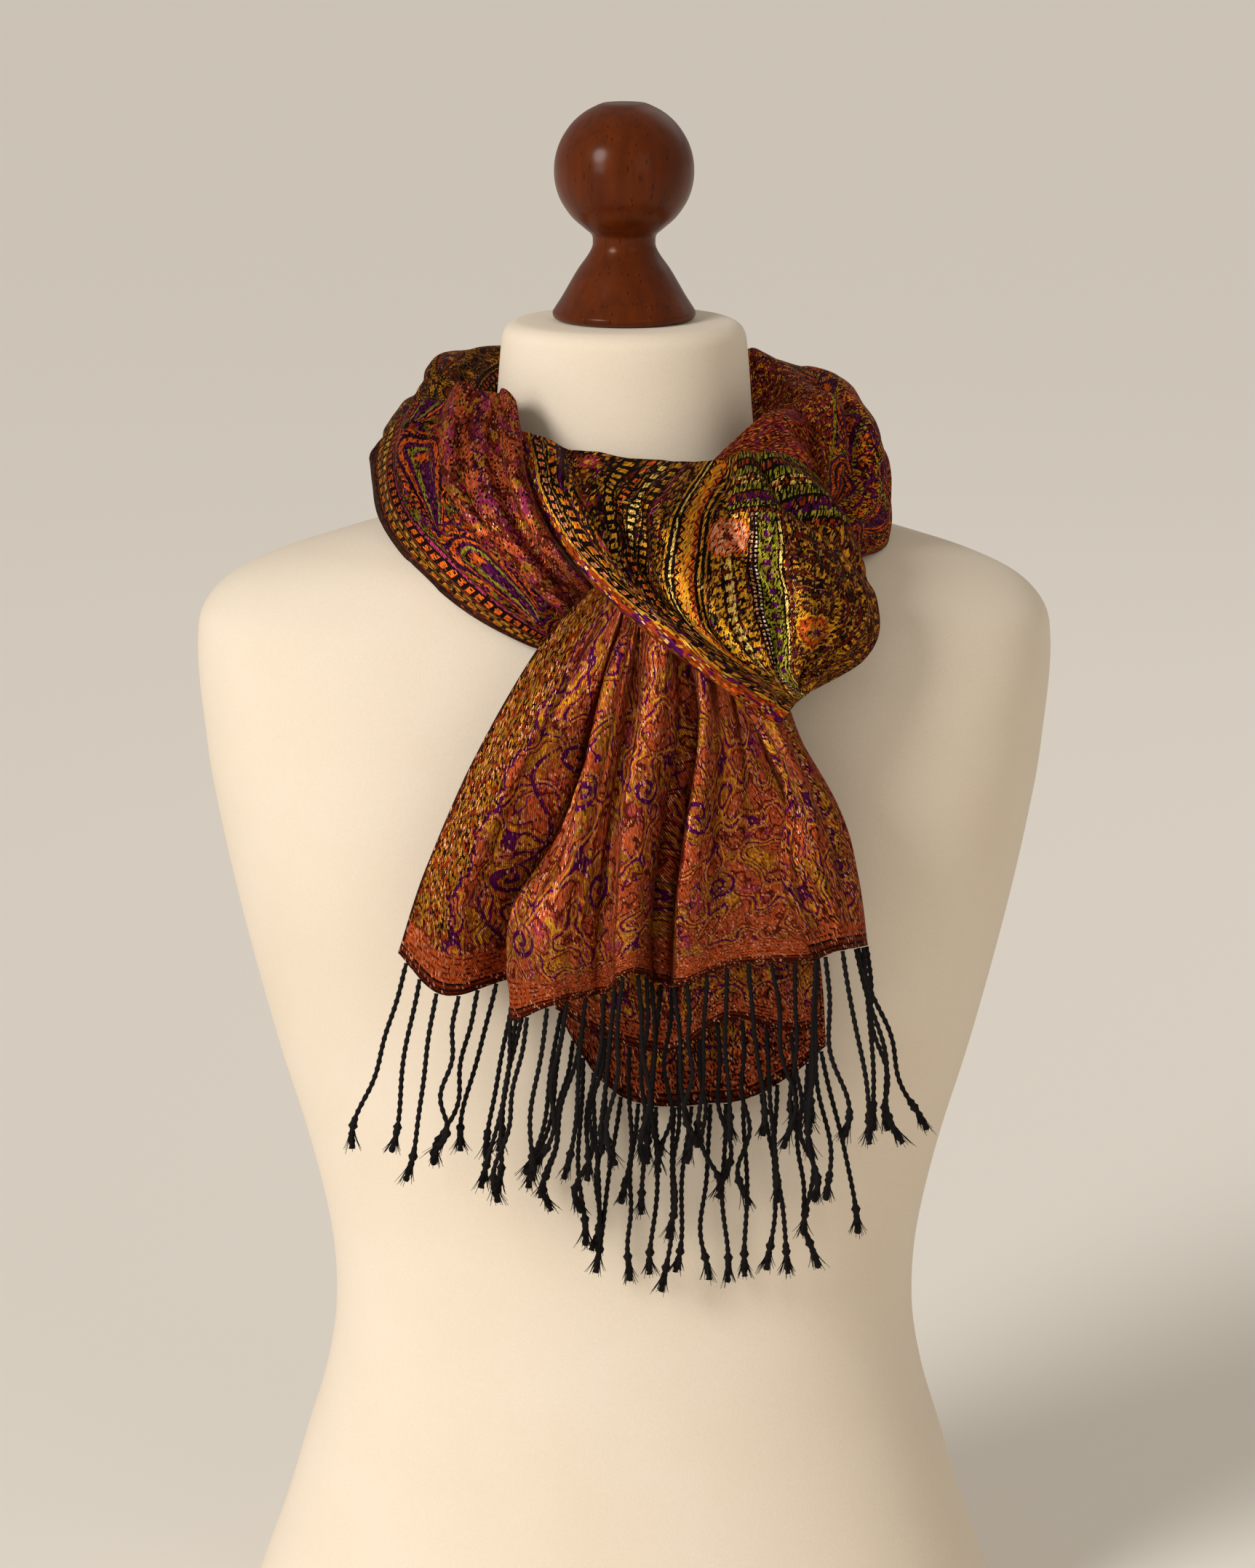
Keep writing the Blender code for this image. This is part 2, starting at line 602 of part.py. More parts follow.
def fringe_of(name, hem_points, fringe, material, collection, helpers):
    """A narrow strip along a hem, a seam below the cloth, with strands fused to it."""
    edge = hem_points[-1]
    fall = unit(hem_points[-1] - hem_points[-2])
    strip = np.stack([edge + fall * BACKING_GAP, edge + fall * (BACKING_GAP + BACKING_DEPTH)])
    backing = wall_of(name, strip, material, collection)
    run = np.concatenate([[0], np.cumsum(np.linalg.norm(np.diff(edge, axis=0), axis=1))])
    stops = np.linspace(0.02, 0.98, fringe.count) * run[-1]
    middle = edge + fall * (BACKING_GAP + 0.6 * BACKING_DEPTH)
    roots = np.stack([np.interp(stops, run, middle[:, axis]) for axis in range(3)], axis=1)
    paths = []
    for root, path in zip(roots, strand_paths(fringe)):
        share = (path[:, 2] / path[-1, 2])[:, None]
        forward = np.minimum(root[1], fringe.front_limit) - root[1]
        paths.append(root + path + np.array([0, forward, 0]) * np.minimum(share * 4, 1))
    strands = strand_mesh(name + "_strands", paths, material, helpers)
    join = backing.modifiers.new("join strands", "BOOLEAN")
    join.operation = "UNION"
    join.solver = "EXACT"
    join.object = strands
    return backing


def new_collection(name):
    """An empty collection in the scene."""
    collection = bpy.data.collections.new(name)
    bpy.context.scene.collection.children.link(collection)
    return collection


def main():
    """Clears the scene, then builds the form, the cloth and its fringe."""
    for leftover in list(bpy.data.objects):
        bpy.data.objects.remove(leftover)
    parts = new_collection("silk_shawl_on_dress_form")
    helpers = new_collection("cutters")
    helpers.hide_render = True

    form_body(material_of("cotton jersey", (0.86, 0.76, 0.6), 0.9), parts)
    cap_body(material_of("stained beech", (0.2, 0.05, 0.02), 0.3), parts)

    arches = {
        "shawl_back": (BACK_WRAP, BACK_WRAP_FOLDS, 16, 21, 1.0),
        "shawl_left": (LEFT_WRAP, LEFT_WRAP_FOLDS, 26, 15, 0.6),
        "shawl_right": (RIGHT_WRAP, RIGHT_WRAP_FOLDS, 17, 14, 0.9),
        "shawl_right_fold": (RIGHT_FOLD, RIGHT_FOLD_FOLDS, 8, 12, 0.2),
    }
    for name, (sections, folds, across, along, roundness) in arches.items():
        points = arched_points(sections, folds, across, along, roundness)
        wall_of(name, points, material_of(name + " silk", (0.3, 0.07, 0.03), 0.45, 0.3), parts)

    sheets = {
        "shawl_loop": (LOOP, 3, 3, None),
        "tail_front": (FRONT_TAIL, 3, 3, FRONT_FRINGE),
        "tail_side": (SIDE_TAIL, 3, 3, SIDE_FRINGE),
        "tail_back": (BACK_TAIL, 2, 2, BACK_FRINGE),
        "tail_back_fold": (BACK_FOLD, 2, 2, BACK_FOLD_FRINGE),
    }
    for name, (lines, per_line, per_point, fringe) in sheets.items():
        points = draped_points(lines, per_line, per_point)
        wall_of(name, points, material_of(name + " silk", (0.4, 0.1, 0.06), 0.45, 0.3), parts)
        if fringe:
            dark = material_of(name + " fringe silk", (0.01, 0.008, 0.01), 0.6)
            fringe_name = name.replace("tail", "fringe")
            fringe_of(fringe_name, points, fringe, dark, parts, helpers)


main()
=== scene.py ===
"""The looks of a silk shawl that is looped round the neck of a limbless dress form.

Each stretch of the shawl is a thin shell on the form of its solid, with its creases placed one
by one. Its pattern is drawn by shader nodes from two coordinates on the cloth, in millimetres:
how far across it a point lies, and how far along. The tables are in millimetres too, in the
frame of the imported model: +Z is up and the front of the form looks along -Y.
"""

import logging
import math
from dataclasses import dataclass
from enum import Enum
from typing import NamedTuple, Sequence, Union

import bpy
import numpy as np
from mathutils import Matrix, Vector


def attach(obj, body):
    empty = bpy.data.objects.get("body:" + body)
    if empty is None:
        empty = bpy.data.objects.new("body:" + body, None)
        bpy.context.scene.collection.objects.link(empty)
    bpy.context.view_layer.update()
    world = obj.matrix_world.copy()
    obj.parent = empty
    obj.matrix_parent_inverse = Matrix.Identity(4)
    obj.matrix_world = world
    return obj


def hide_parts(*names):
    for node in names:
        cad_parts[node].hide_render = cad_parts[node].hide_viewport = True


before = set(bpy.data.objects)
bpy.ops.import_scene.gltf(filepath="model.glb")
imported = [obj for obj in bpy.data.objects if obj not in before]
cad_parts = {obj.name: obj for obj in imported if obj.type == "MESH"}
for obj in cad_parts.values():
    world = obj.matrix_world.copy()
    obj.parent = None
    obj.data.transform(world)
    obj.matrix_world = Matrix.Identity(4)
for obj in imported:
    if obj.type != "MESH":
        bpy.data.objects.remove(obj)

LOG = logging.getLogger("shawl")
MM = 0.001
TWO_PI = 2 * math.pi
BODY = "root"
CLOTH_UV = "cloth"
SHELL = 0.9              # thickness of the two layers of thin silk
FORM_CLEARANCE = 1.3     # from the middle of a shell to the form that it rests on
CAP_SEAT = 606.3         # underside of the wooden cap


class Point(NamedTuple):
    """A place in millimetres."""

    x: float
    y: float
    z: float


class Ring(NamedTuple):
    """One level section of the dress form."""

    z: float
    half_width: float
    front: float
    back: float
    squareness: float


class Turning(NamedTuple):
    """One step of the turned cap's profile, above its underside."""

    height: float
    radius: float


Line = tuple[Point, ...]


def lines_of(rows: Sequence[Sequence[tuple[float, float, float]]]) -> tuple[Line, ...]:
    """The rows of a table as lines of points."""
    return tuple(tuple(Point(*point) for point in row) for row in rows)


class Fold(NamedTuple):
    """A fold along a stretch: its place across at both ends, its height at both and width."""

    start_at: float
    end_at: float
    start_rise: float
    end_rise: float
    width: float


class Fringe(NamedTuple):
    """The fringe of one hem: its strands, their length and how they hang."""

    count: int
    shortest: float
    longest: float
    lean_first: float
    lean_last: float
    swing: float
    front_limit: float
    seed: int


class LoopMark(NamedTuple):
    """A line of the loop's pattern: its place across the cloth, and where it lies.

    The shares are those of the loop's width, from the neck down to where it gathers.
    """

    across: float
    neck: float
    upper: float
    middle: float
    lower: float
    roll: float
    gather: float


FORM_RINGS = [
    Ring(0, 176, 110, 112, 2.1), Ring(30, 166, 106, 108, 2.1),
    Ring(58, 156, 102, 102, 2.1), Ring(90, 146.5, 97, 92, 2.1),
    Ring(118, 138, 93, 82, 2.1), Ring(146, 133, 90, 75, 2.1),
    Ring(174, 133, 89, 73, 2.1), Ring(201, 137, 90, 75, 2.1),
    Ring(236, 145.5, 94, 80, 2.2), Ring(274, 157, 101, 87, 2.2),
    Ring(318, 168.5, 107, 95, 2.3), Ring(359, 178, 110, 102, 2.4),
    Ring(400, 186, 107, 106, 2.5), Ring(423, 189, 103, 106, 2.5),
    Ring(446, 191.5, 98, 104, 2.5), Ring(463, 192, 92.5, 101, 2.4),
    Ring(477, 189.5, 87, 97, 2.3), Ring(490, 178, 81, 92, 2.1),
    Ring(500, 158, 76, 87, 2), Ring(508, 134, 71.5, 82, 1.9),
    Ring(516, 107, 67, 77, 1.9), Ring(524, 85, 63, 72, 1.9),
    Ring(533, 69.5, 59.5, 68, 2), Ring(544, 61.5, 56.5, 64, 2),
    Ring(558, 58, 54, 61, 2), Ring(576, 56.5, 52, 58.5, 2),
    Ring(595, 55, 50.5, 57, 2), Ring(601.5, 53.5, 49, 55.5, 2),
    Ring(605, 49.5, 45, 51.5, 2), Ring(606, 44, 40, 46, 2),
]

CAP_PROFILE = [
    Turning(0, 29.5), Turning(1, 31.3), Turning(3, 32), Turning(5, 31),
    Turning(11, 27.2), Turning(17, 23.8), Turning(22.7, 20.4), Turning(28, 16.6),
    Turning(32, 14.4), Turning(35, 14), Turning(38, 14.6), Turning(41, 18),
    Turning(46, 23.5), Turning(53, 28.2), Turning(60, 30.6), Turning(66.5, 31.2),
    Turning(73, 30.5), Turning(80, 28.1), Turning(87, 23.5), Turning(92, 18),
    Turning(95, 12.6), Turning(96.1, 10),
]

# Sections across a wrap: its inner edge, its crest and its outer edge.
BACK_WRAP = lines_of([
    ((54, 56, 557), (78, 74, 556), (82, 78, 510)),
    ((44, 62, 567), (70, 88, 560), (72, 88, 494)),
    ((26, 69, 573), (38, 102, 557), (40, 96, 484)),
    ((0, 72, 575), (0, 110, 556), (0, 97, 480)),
    ((-28, 70, 575), (-42, 104, 558), (-44, 94, 483)),
    ((-52, 54, 571), (-80, 80, 565), (-82, 80, 492)),
    ((-63, 30, 565), (-96, 44, 570), (-107, 50, 507)),
    ((-66, 4, 555), (-87, 10, 564), (-103, 13, 528)),
    ((-65, -18, 550), (-79, -18, 552), (-93, -14, 530)),
])

BACK_WRAP_FOLDS = (
    Fold(0.20, 0.16, -3, -3, 0.06), Fold(0.38, 0.34, 3, 2, 0.07), Fold(0.54, 0.50, -4, -3, 0.06),
    Fold(0.70, 0.74, 4, 3, 0.07), Fold(0.86, 0.88, -3, -2, 0.06),
)

LEFT_WRAP = lines_of([
    ((-47.5, -56, 577), (-81, -14, 573.5), (-114.5, 8, 542)),
    ((-45, -76, 562), (-84, -44, 560), (-112.5, -8, 532)),
    ((-41.5, -94, 547), (-79.5, -72, 544), (-108, -30, 520)),
    ((-33.5, -106, 529), (-66, -94, 527), (-96, -53, 506.5)),
    ((-24, -112, 515.5), (-48, -106, 509.5), (-71.5, -79, 490)),
    ((-15.5, -108, 506.5), (-30, -108, 495.5), (-46, -94, 478)),
    ((-10.5, -105, 500.5), (-19.5, -105.5, 488.5), (-30.5, -98, 473)),
])

LEFT_WRAP_FOLDS = (
    Fold(0.09, 0.14, 4, 2, 0.065), Fold(0.22, 0.34, -4, -2, 0.06), Fold(0.37, 0.50, 5, 2, 0.06),
    Fold(0.50, 0.62, -4, -1.5, 0.055), Fold(0.61, 0.74, 3.5, 1.5, 0.06),
)

RIGHT_WRAP = lines_of([
    ((46, 56, 570), (80, 92, 566), (82, 95, 495)),
    ((60, 36, 563), (99, 50, 568), (107, 58, 511)),
    ((68, 12, 562), (106, 16, 563), (115, 20, 516)),
    ((83, -8, 568), (111, -10, 555), (117, -12, 516)),
    ((87, -34, 554), (110, -34, 536), (115, -32, 508.5)),
    ((87.5, -58, 541), (99, -57.5, 524), (104, -55, 508)),
])

RIGHT_WRAP_FOLDS = (
    Fold(0.16, 0.20, 2, 3, 0.06), Fold(0.34, 0.36, -3, -4, 0.06), Fold(0.50, 0.54, 3.5, 3.5, 0.07),
    Fold(0.68, 0.72, -3, -2, 0.06),
)

RIGHT_FOLD = lines_of([
    ((95, -8, 545), (95, -26, 535), (93, -40, 524)),
    ((87, -14, 556), (89, -34, 544), (88, -46, 533)),
    ((78, -24, 567), (81, -43, 555), (82, -58, 540)),
    ((67, -38, 571), (75, -54, 561), (78.5, -64, 543.5)),
    ((58, -52, 568), (65, -63, 559), (67.5, -67, 547)),
    ((48.5, -62, 561), (53, -68, 555.5), (56, -69, 548)),
    ((39, -67, 553), (42, -68, 550), (44, -68, 547)),
])

RIGHT_FOLD_FOLDS = (
    Fold(0.45, 0.40, -3, -1, 0.14), Fold(0.72, 0.70, 2.5, 0.5, 0.12),
)

# Down each pleat of the loop: neck, brow, upper, middle, lower, roll and gather.
LOOP = lines_of([
    ((-50, -54, 565), (-44, -80, 549.5), (-35.5, -94, 532), (-16.5, -113, 510), (7, -134, 492),
     (41, -146, 468.5), (65, -148, 451.5)),
    ((-38, -62, 563), (-27, -98, 549.5), (-13.5, -118, 530.5), (2, -132, 510.5), (21.5, -146, 493.5),
     (47.5, -153.5, 471.5), (67.5, -152, 454)),
    ((-18.5, -67, 557), (-6.5, -90, 542.5), (3, -108, 523), (13, -128, 505), (31, -144.5, 490),
     (53.5, -151.5, 474), (70, -150.5, 457)),
    ((15, -72, 553.5), (17, -110, 538.5), (24, -128, 521), (31.5, -140, 502.5), (42, -148, 487),
     (58, -152, 473.5), (72, -151, 459.5)),
    ((39.5, -72, 553.5), (41.5, -98, 539), (48, -116, 523), (56, -130, 506.5), (61.5, -140, 490.5),
     (66, -148, 473), (74, -149.5, 461.5)),
    ((56.5, -76, 558.5), (67, -111, 540), (77, -129, 520.5), (81, -136, 502), (79, -142, 487),
     (75, -147, 472.5), (76.5, -148, 463)),
    ((74.5, -70, 554), (88.5, -92, 534), (97.5, -106, 512.5), (100, -114, 494.5), (93.5, -124, 480.5),
     (83.5, -138, 471.5), (78.5, -145, 464.5)),
    ((85.5, -66, 544.5), (98.5, -78, 522), (108, -84, 502), (111, -92, 482.5), (104.5, -106, 472),
     (91.5, -126, 467.5), (81, -140, 465.5)),
])

# Down each ridge or valley of a tail: top, upper, middle, lower and hem.
FRONT_TAIL = lines_of([
    ((-11.5, -114.5, 507.5), (-37.5, -124, 479.5), (-65.5, -132, 431), (-85.5, -136, 385.5),
     (-98, -134, 347.5)),
    ((-4, -115, 503), (-29, -134, 460), (-49.5, -144, 421), (-68.5, -150, 377), (-77.5, -148, 332)),
    ((1.5, -116, 499), (-11.5, -125, 453.5), (-21.5, -127.5, 411), (-40.5, -128, 370),
     (-46, -127.5, 335)),
    ((2.5, -118, 497), (-9.5, -132, 447), (-26, -140, 400.5), (-47, -148, 366.5), (-48.5, -150, 321.5)),
    ((5, -122, 496), (-3.5, -140, 468), (-14.5, -149, 415.5), (-27.5, -156, 359.5), (-29, -154, 330.5)),
    ((9.5, -124, 499), (4.5, -136, 451), (-2, -143, 412), (-6.5, -146, 360), (-8, -142, 331.5)),
    ((18.5, -127, 496), (16, -146, 453), (9.5, -153, 410), (5.5, -157, 369), (3, -155, 343.5)),
    ((27, -124, 488), (30.5, -127, 443), (24, -127.5, 402), (19.5, -127.5, 365.5), (18, -127.5, 331.5)),
    ((33, -125, 485), (35.5, -137, 445), (30.5, -146, 402), (26.5, -149, 364), (26, -147, 337)),
    ((39, -124, 482), (46, -133, 444), (47.5, -137, 400), (48, -139, 368), (48.5, -137, 343)),
    ((46.5, -123, 479), (58.5, -129, 438.5), (70.5, -132, 405.5), (73, -133, 370), (80.5, -131, 343.5)),
])

FRONT_TAIL_TUCK = lines_of([
    ((52, -122, 475), (68, -127, 437), (80, -131, 405.5), (86, -132, 372), (89, -131, 347)),
])

SIDE_TAIL = lines_of([
    ((44, -133, 471), (57, -138, 448), (69.5, -144, 420), (67.5, -146, 386), (82.5, -144, 347)),
    ((53.5, -136, 468.5), (65, -149, 446.5), (77, -156, 418.5), (80, -161, 389.5), (91.5, -157, 354)),
    ((62, -136, 464.5), (71.5, -148, 443.5), (84, -152, 414), (91, -154, 388), (99.5, -150, 353.5)),
    ((68.5, -133, 460), (76, -136, 440.5), (91.5, -136, 411), (99.5, -136, 383.5), (105, -133, 350.5)),
    ((68.5, -126, 457), (73.5, -125, 436), (89.5, -123, 406.5), (97, -121, 378.5), (101.5, -119, 346.5)),
])

SIDE_TAIL_TUCK = lines_of([
    ((48, -126, 468), (61, -127, 446), (73, -131, 418), (72, -133, 386), (84, -132, 350)),
])

BACK_TAIL = lines_of([
    ((-12, -110.5, 443), (-19.5, -111.5, 401.5), (-25, -111.5, 365.5), (-27.5, -111.5, 339.5),
     (-28, -110.5, 313.5)),
    ((-2.5, -113.5, 444), (-10, -114.5, 402), (-14.5, -114.5, 366.5), (-16.5, -114.5, 330.5),
     (-16, -114.5, 293)),
    ((7, -110.5, 443), (2, -111.5, 401.5), (-1.5, -111.5, 365.5), (-2.5, -109.5, 322.5),
     (-2, -108.5, 277)),
    ((16.5, -113.5, 444), (14, -114.5, 402), (13.5, -114.5, 366.5), (14, -114.5, 320.5),
     (15, -115.5, 274)),
    ((27.5, -110.5, 443), (29, -111.5, 401.5), (31, -111.5, 365.5), (33, -109.5, 319.5),
     (34.5, -107.5, 272.5)),
    ((37, -113.5, 444), (43.5, -114.5, 402), (48, -114.5, 366.5), (51.5, -114.5, 320.5),
     (53, -115.5, 277)),
    ((46.5, -110.5, 443), (57, -111.5, 401.5), (65, -111.5, 365.5), (69.5, -109.5, 326),
     (72.5, -108.5, 285)),
    ((54.5, -112.5, 443.5), (70, -113.5, 402), (81.5, -114.5, 366.5), (86.5, -114.5, 330.5),
     (88.5, -113.5, 300.5)),
])

BACK_FOLD = lines_of([
    ((-18.5, -115.5, 441.5), (-22.5, -116, 402.5), (-25.5, -116, 367), (-28.5, -116, 341),
     (-30, -116, 318)),
    ((-2.5, -118, 442), (-5.5, -119.5, 403.5), (-6.5, -120, 368), (-5, -120, 334), (-2.5, -120, 304)),
    ((18, -115.5, 441.5), (19, -116, 402.5), (20.5, -116, 367), (21.5, -116, 331), (23, -116, 298.5)),
    ((32, -118, 442), (37, -119.5, 403.5), (41, -120, 368), (44, -120, 338.5), (45, -120, 314.5)),
    ((44.5, -115.5, 441.5), (56, -116, 402.5), (64.5, -116, 367), (70, -116, 334.5), (72, -116, 308)),
    ((52.5, -117, 441.5), (66.5, -118, 403), (78, -118, 367.5), (84, -118, 338), (86, -118, 311.5)),
])

FRONT_FRINGE = Fringe(30, 70, 84, -0.22, 0.06, 1.8, -128, 4)
SIDE_FRINGE = Fringe(8, 78, 88, 0.06, 0.22, 2, -121, 8)
BACK_FRINGE = Fringe(18, 74, 88, -0.08, 0.10, 2, -110, 3)
BACK_FOLD_FRINGE = Fringe(12, 70, 84, -0.16, 0.14, 1.6, -122, 11)

STRAND_CROWDING = 0.55     # share of its swing that a strand keeps near its neighbours


class Dye(Enum):
    """The colours of the threads, the form, the wood and the studio, as sRGB."""

    INK = "#150d0b"
    BROWN = "#3a1c12"
    RUST = "#8e3412"
    ORANGE = "#c8591a"
    GOLD = "#c98a22"
    OCHRE = "#9c661c"
    STRAW = "#e8bd62"
    LIME = "#8a8424"
    OLIVE = "#5d5416"
    PURPLE = "#4d0f45"
    PLUM = "#2e0b2a"
    MAGENTA = "#8c2a4c"
    CORAL = "#b4502a"
    ROSE = "#d58f6c"
    WINE = "#5c1e12"
    CREAM = "#e6cfb4"
    JERSEY = "#efe1cf"
    JERSEY_SHADE = "#e6d5bd"
    WOOD = "#702f06"
    WOOD_DARK = "#38150a"
    WALL = "#fdf8f1"

    @property
    def rgba(self) -> tuple[float, float, float, float]:
        """The colour as linear red, green, blue and alpha."""
        return linear(self.value)


def linear(code: str) -> tuple[float, float, float, float]:
    """Turns an sRGB hex colour into linear light.

    Args:
        code: The colour, such as "#c8591a".

    Returns:
        Red, green, blue and alpha. Each channel c becomes c / 12.92 up to 0.04045, and
        ((c + 0.055) / 1.055) ** 2.4 above it.
    """
    channels = [int(code[start:start + 2], 16) / 255 for start in (1, 3, 5)]
    red, green, blue = (
        c / 12.92 if c <= 0.04045 else ((c + 0.055) / 1.055) ** 2.4 for c in channels
    )
    return red, green, blue, 1.0


def add_node(
    tree: bpy.types.NodeTree, kind: str, inputs: dict[Union[int, str], object], **settings: object
) -> bpy.types.Node:
    """Adds a shader node.

    Args:
        tree: The node tree.
        kind: The node's type name.
        inputs: Value, socket or Field by input name or number.
        **settings: The node's own settings.

    Returns:
        The new node, set and linked.
    """
    node = tree.nodes.new(kind)
    for name, value in settings.items():
        setattr(node, name, value)
    for key, value in inputs.items():
        source = value.socket if isinstance(value, Field) else value
        if isinstance(source, bpy.types.NodeSocket):
            tree.links.new(source, node.inputs[key])
        else:
            node.inputs[key].default_value = source
    return node


def new_material(name: str) -> tuple[bpy.types.Material, bpy.types.NodeTree, bpy.types.Node]:
    """Starts a material.

    Args:
        name: Its name, which says what the real one is.

    Returns:
        The material, its node tree and its Principled shader.
    """
    material = bpy.data.materials.new(name)
    material.use_nodes = True
    return material, material.node_tree, material.node_tree.nodes["Principled BSDF"]


def set_gloss(shader: bpy.types.Node, values: dict[str, object]) -> None:
    """Sets what is the same all over a surface on the shader's own inputs."""
    for name, value in values.items():
        shader.inputs[name].default_value = value


Number = Union["Field", float]


class Field:
    """A number that the shader works out at each point, as a chain of Math nodes."""

    def __init__(self, tree: bpy.types.NodeTree, socket: bpy.types.NodeSocket) -> None:
        """Keeps the tree, and the socket that gives the number."""
        self.tree = tree
        self.socket = socket

    def math(self, operation: str, *others: Number, clamp: bool = False) -> "Field":
        """This number and the others through one Math node.

        Args:
            operation: The node's operation.
            *others: What it works on after this number.
            clamp: Whether the result is kept from 0 to 1.

        Returns:
            The result.
        """
        inputs = dict(enumerate((self, *others)))
        node = add_node(
            self.tree, "ShaderNodeMath", inputs, operation=operation, use_clamp=clamp
        )
        return Field(self.tree, node.outputs[0])

    def __add__(self, other: Number) -> "Field":
        """The sum."""
        return self.math("ADD", other)

    def __sub__(self, other: Number) -> "Field":
        """The difference."""
        return self.math("SUBTRACT", other)

    def __mul__(self, other: Number) -> "Field":
        """The product."""
        return self.math("MULTIPLY", other)

    def __truediv__(self, other: Number) -> "Field":
        """The quotient."""
        return self.math("DIVIDE", other)

    def __abs__(self) -> "Field":
        """The number without its sign."""
        return self.math("ABSOLUTE")

    def less_from(self, value: float) -> "Field":
        """The value less this number."""
        return (self * -1.0) + value

    def wave(self, pitch: float) -> "Field":
        """A sine of this pitch."""
        return (self * (TWO_PI / pitch)).math("SINE")

    def floor(self) -> "Field":
        """The next whole number below."""
        return self.math("FLOOR")

    def least(self, other: Number) -> "Field":
        """The smaller of the two."""
        return self.math("MINIMUM", other)

    def most(self, other: Number) -> "Field":
        """The larger of the two."""
        return self.math("MAXIMUM", other)

    def repeat(self, pitch: float, shift: float = 0.0) -> "Field":
        """The distance from the middle of each repeat, from -pitch / 2 to pitch / 2."""
        turned = (self - shift) / pitch + 0.5
        return (turned.math("FRACT") - 0.5) * pitch

    def below(self, limit: Number, soft: float = 0.25) -> "Field":
        """1 where this number is under the limit and 0 above it, over a soft edge."""
        step = (self - limit) / -soft
        return step.math("ADD", 0.5, clamp=True)


def stripe(x: Field, width: float, soft: float = 0.25) -> Field:
    """1 within half the width of 0."""
    return abs(x).below(width / 2, soft)


def blocks(x: Field, v: Field, size: tuple[float, float], pitch: float, shift: float = 0.0) -> Field:
    """A row of blocks of this width and length, one a pitch."""
    return stripe(x, size[0]) * stripe(v.repeat(pitch, shift), size[1])


def zigzag(x: Field, v: Field, width: float, pitch: float, reach: float) -> Field:
    """A zigzag line about x = 0."""
    teeth = abs(v.repeat(pitch)) * (4 * reach / pitch) - reach
    return stripe(x - teeth, width)


def away(x: Field, y: Field) -> Field:
    """The distance from the origin."""
    return (x * x + y * y).math("SQRT")


def flower(x: Field, y: Field, radius: float, petals: int, depth: float = 0.18) -> Field:
    """A flower, as the distance over radius * (1 - depth + depth * cos(petals * angle)).

    Args:
        x: Distance across from its middle.
        y: Distance along from its middle.
        radius: Its radius at the tip of a petal.
        petals: How many petals it has.
        depth: How deep the notches between them are, as a share.

    Returns:
        A number below 1 within it.
    """
    angle = y.math("ARCTAN2", x)
    rim = (angle * float(petals)).math("COSINE") * (radius * depth) + radius * (1 - depth)
    return away(x, y) / rim


def scroll(x: Field, y: Field, radius: float, pitch: float, line: float) -> Field:
    """A spiral line that winds in from the radius.

    Args:
        x: Distance across from its middle.
        y: Distance along from its middle.
        radius: How far out it starts.
        pitch: The distance between its turns.
        line: The width of the line.

    Returns:
        1 on the line, where the fraction of distance / pitch - angle / (2 pi) is near 0.5.
    """
    angle = y.math("ARCTAN2", x) / TWO_PI
    far = away(x, y)
    turn = (far / pitch - angle).math("FRACT") - 0.5
    return stripe(turn * pitch, line) * far.below(radius)


def boteh(x: Field, y: Field, width: float, length: float, bend: float) -> Field:
    """Below 1 within a paisley whose round head is at the origin and whose tip bends aside.

    Above the head its half width is width / 2 * (1 - y / length) ** 0.7, about a middle
    line at bend * (y / length) ** 2.

    Args:
        x: Distance across from its head.
        y: Distance towards its tip.
        width: Its width at the head.
        length: From its head to its tip.
        bend: How far aside the tip lies.

    Returns:
        A number below 1 within it.
    """
    up = y.most(0.0) / length
    low = y.least(0.0) / (width / 2)
    half = (up.least(0.98).less_from(1.0)).math("POWER", 0.7) * (width / 2)
    side = (x - up * up * bend) / half
    return (side * side + low * low).math("SQRT") + up.below(1.0, 0.02).less_from(1.0) * 9.0


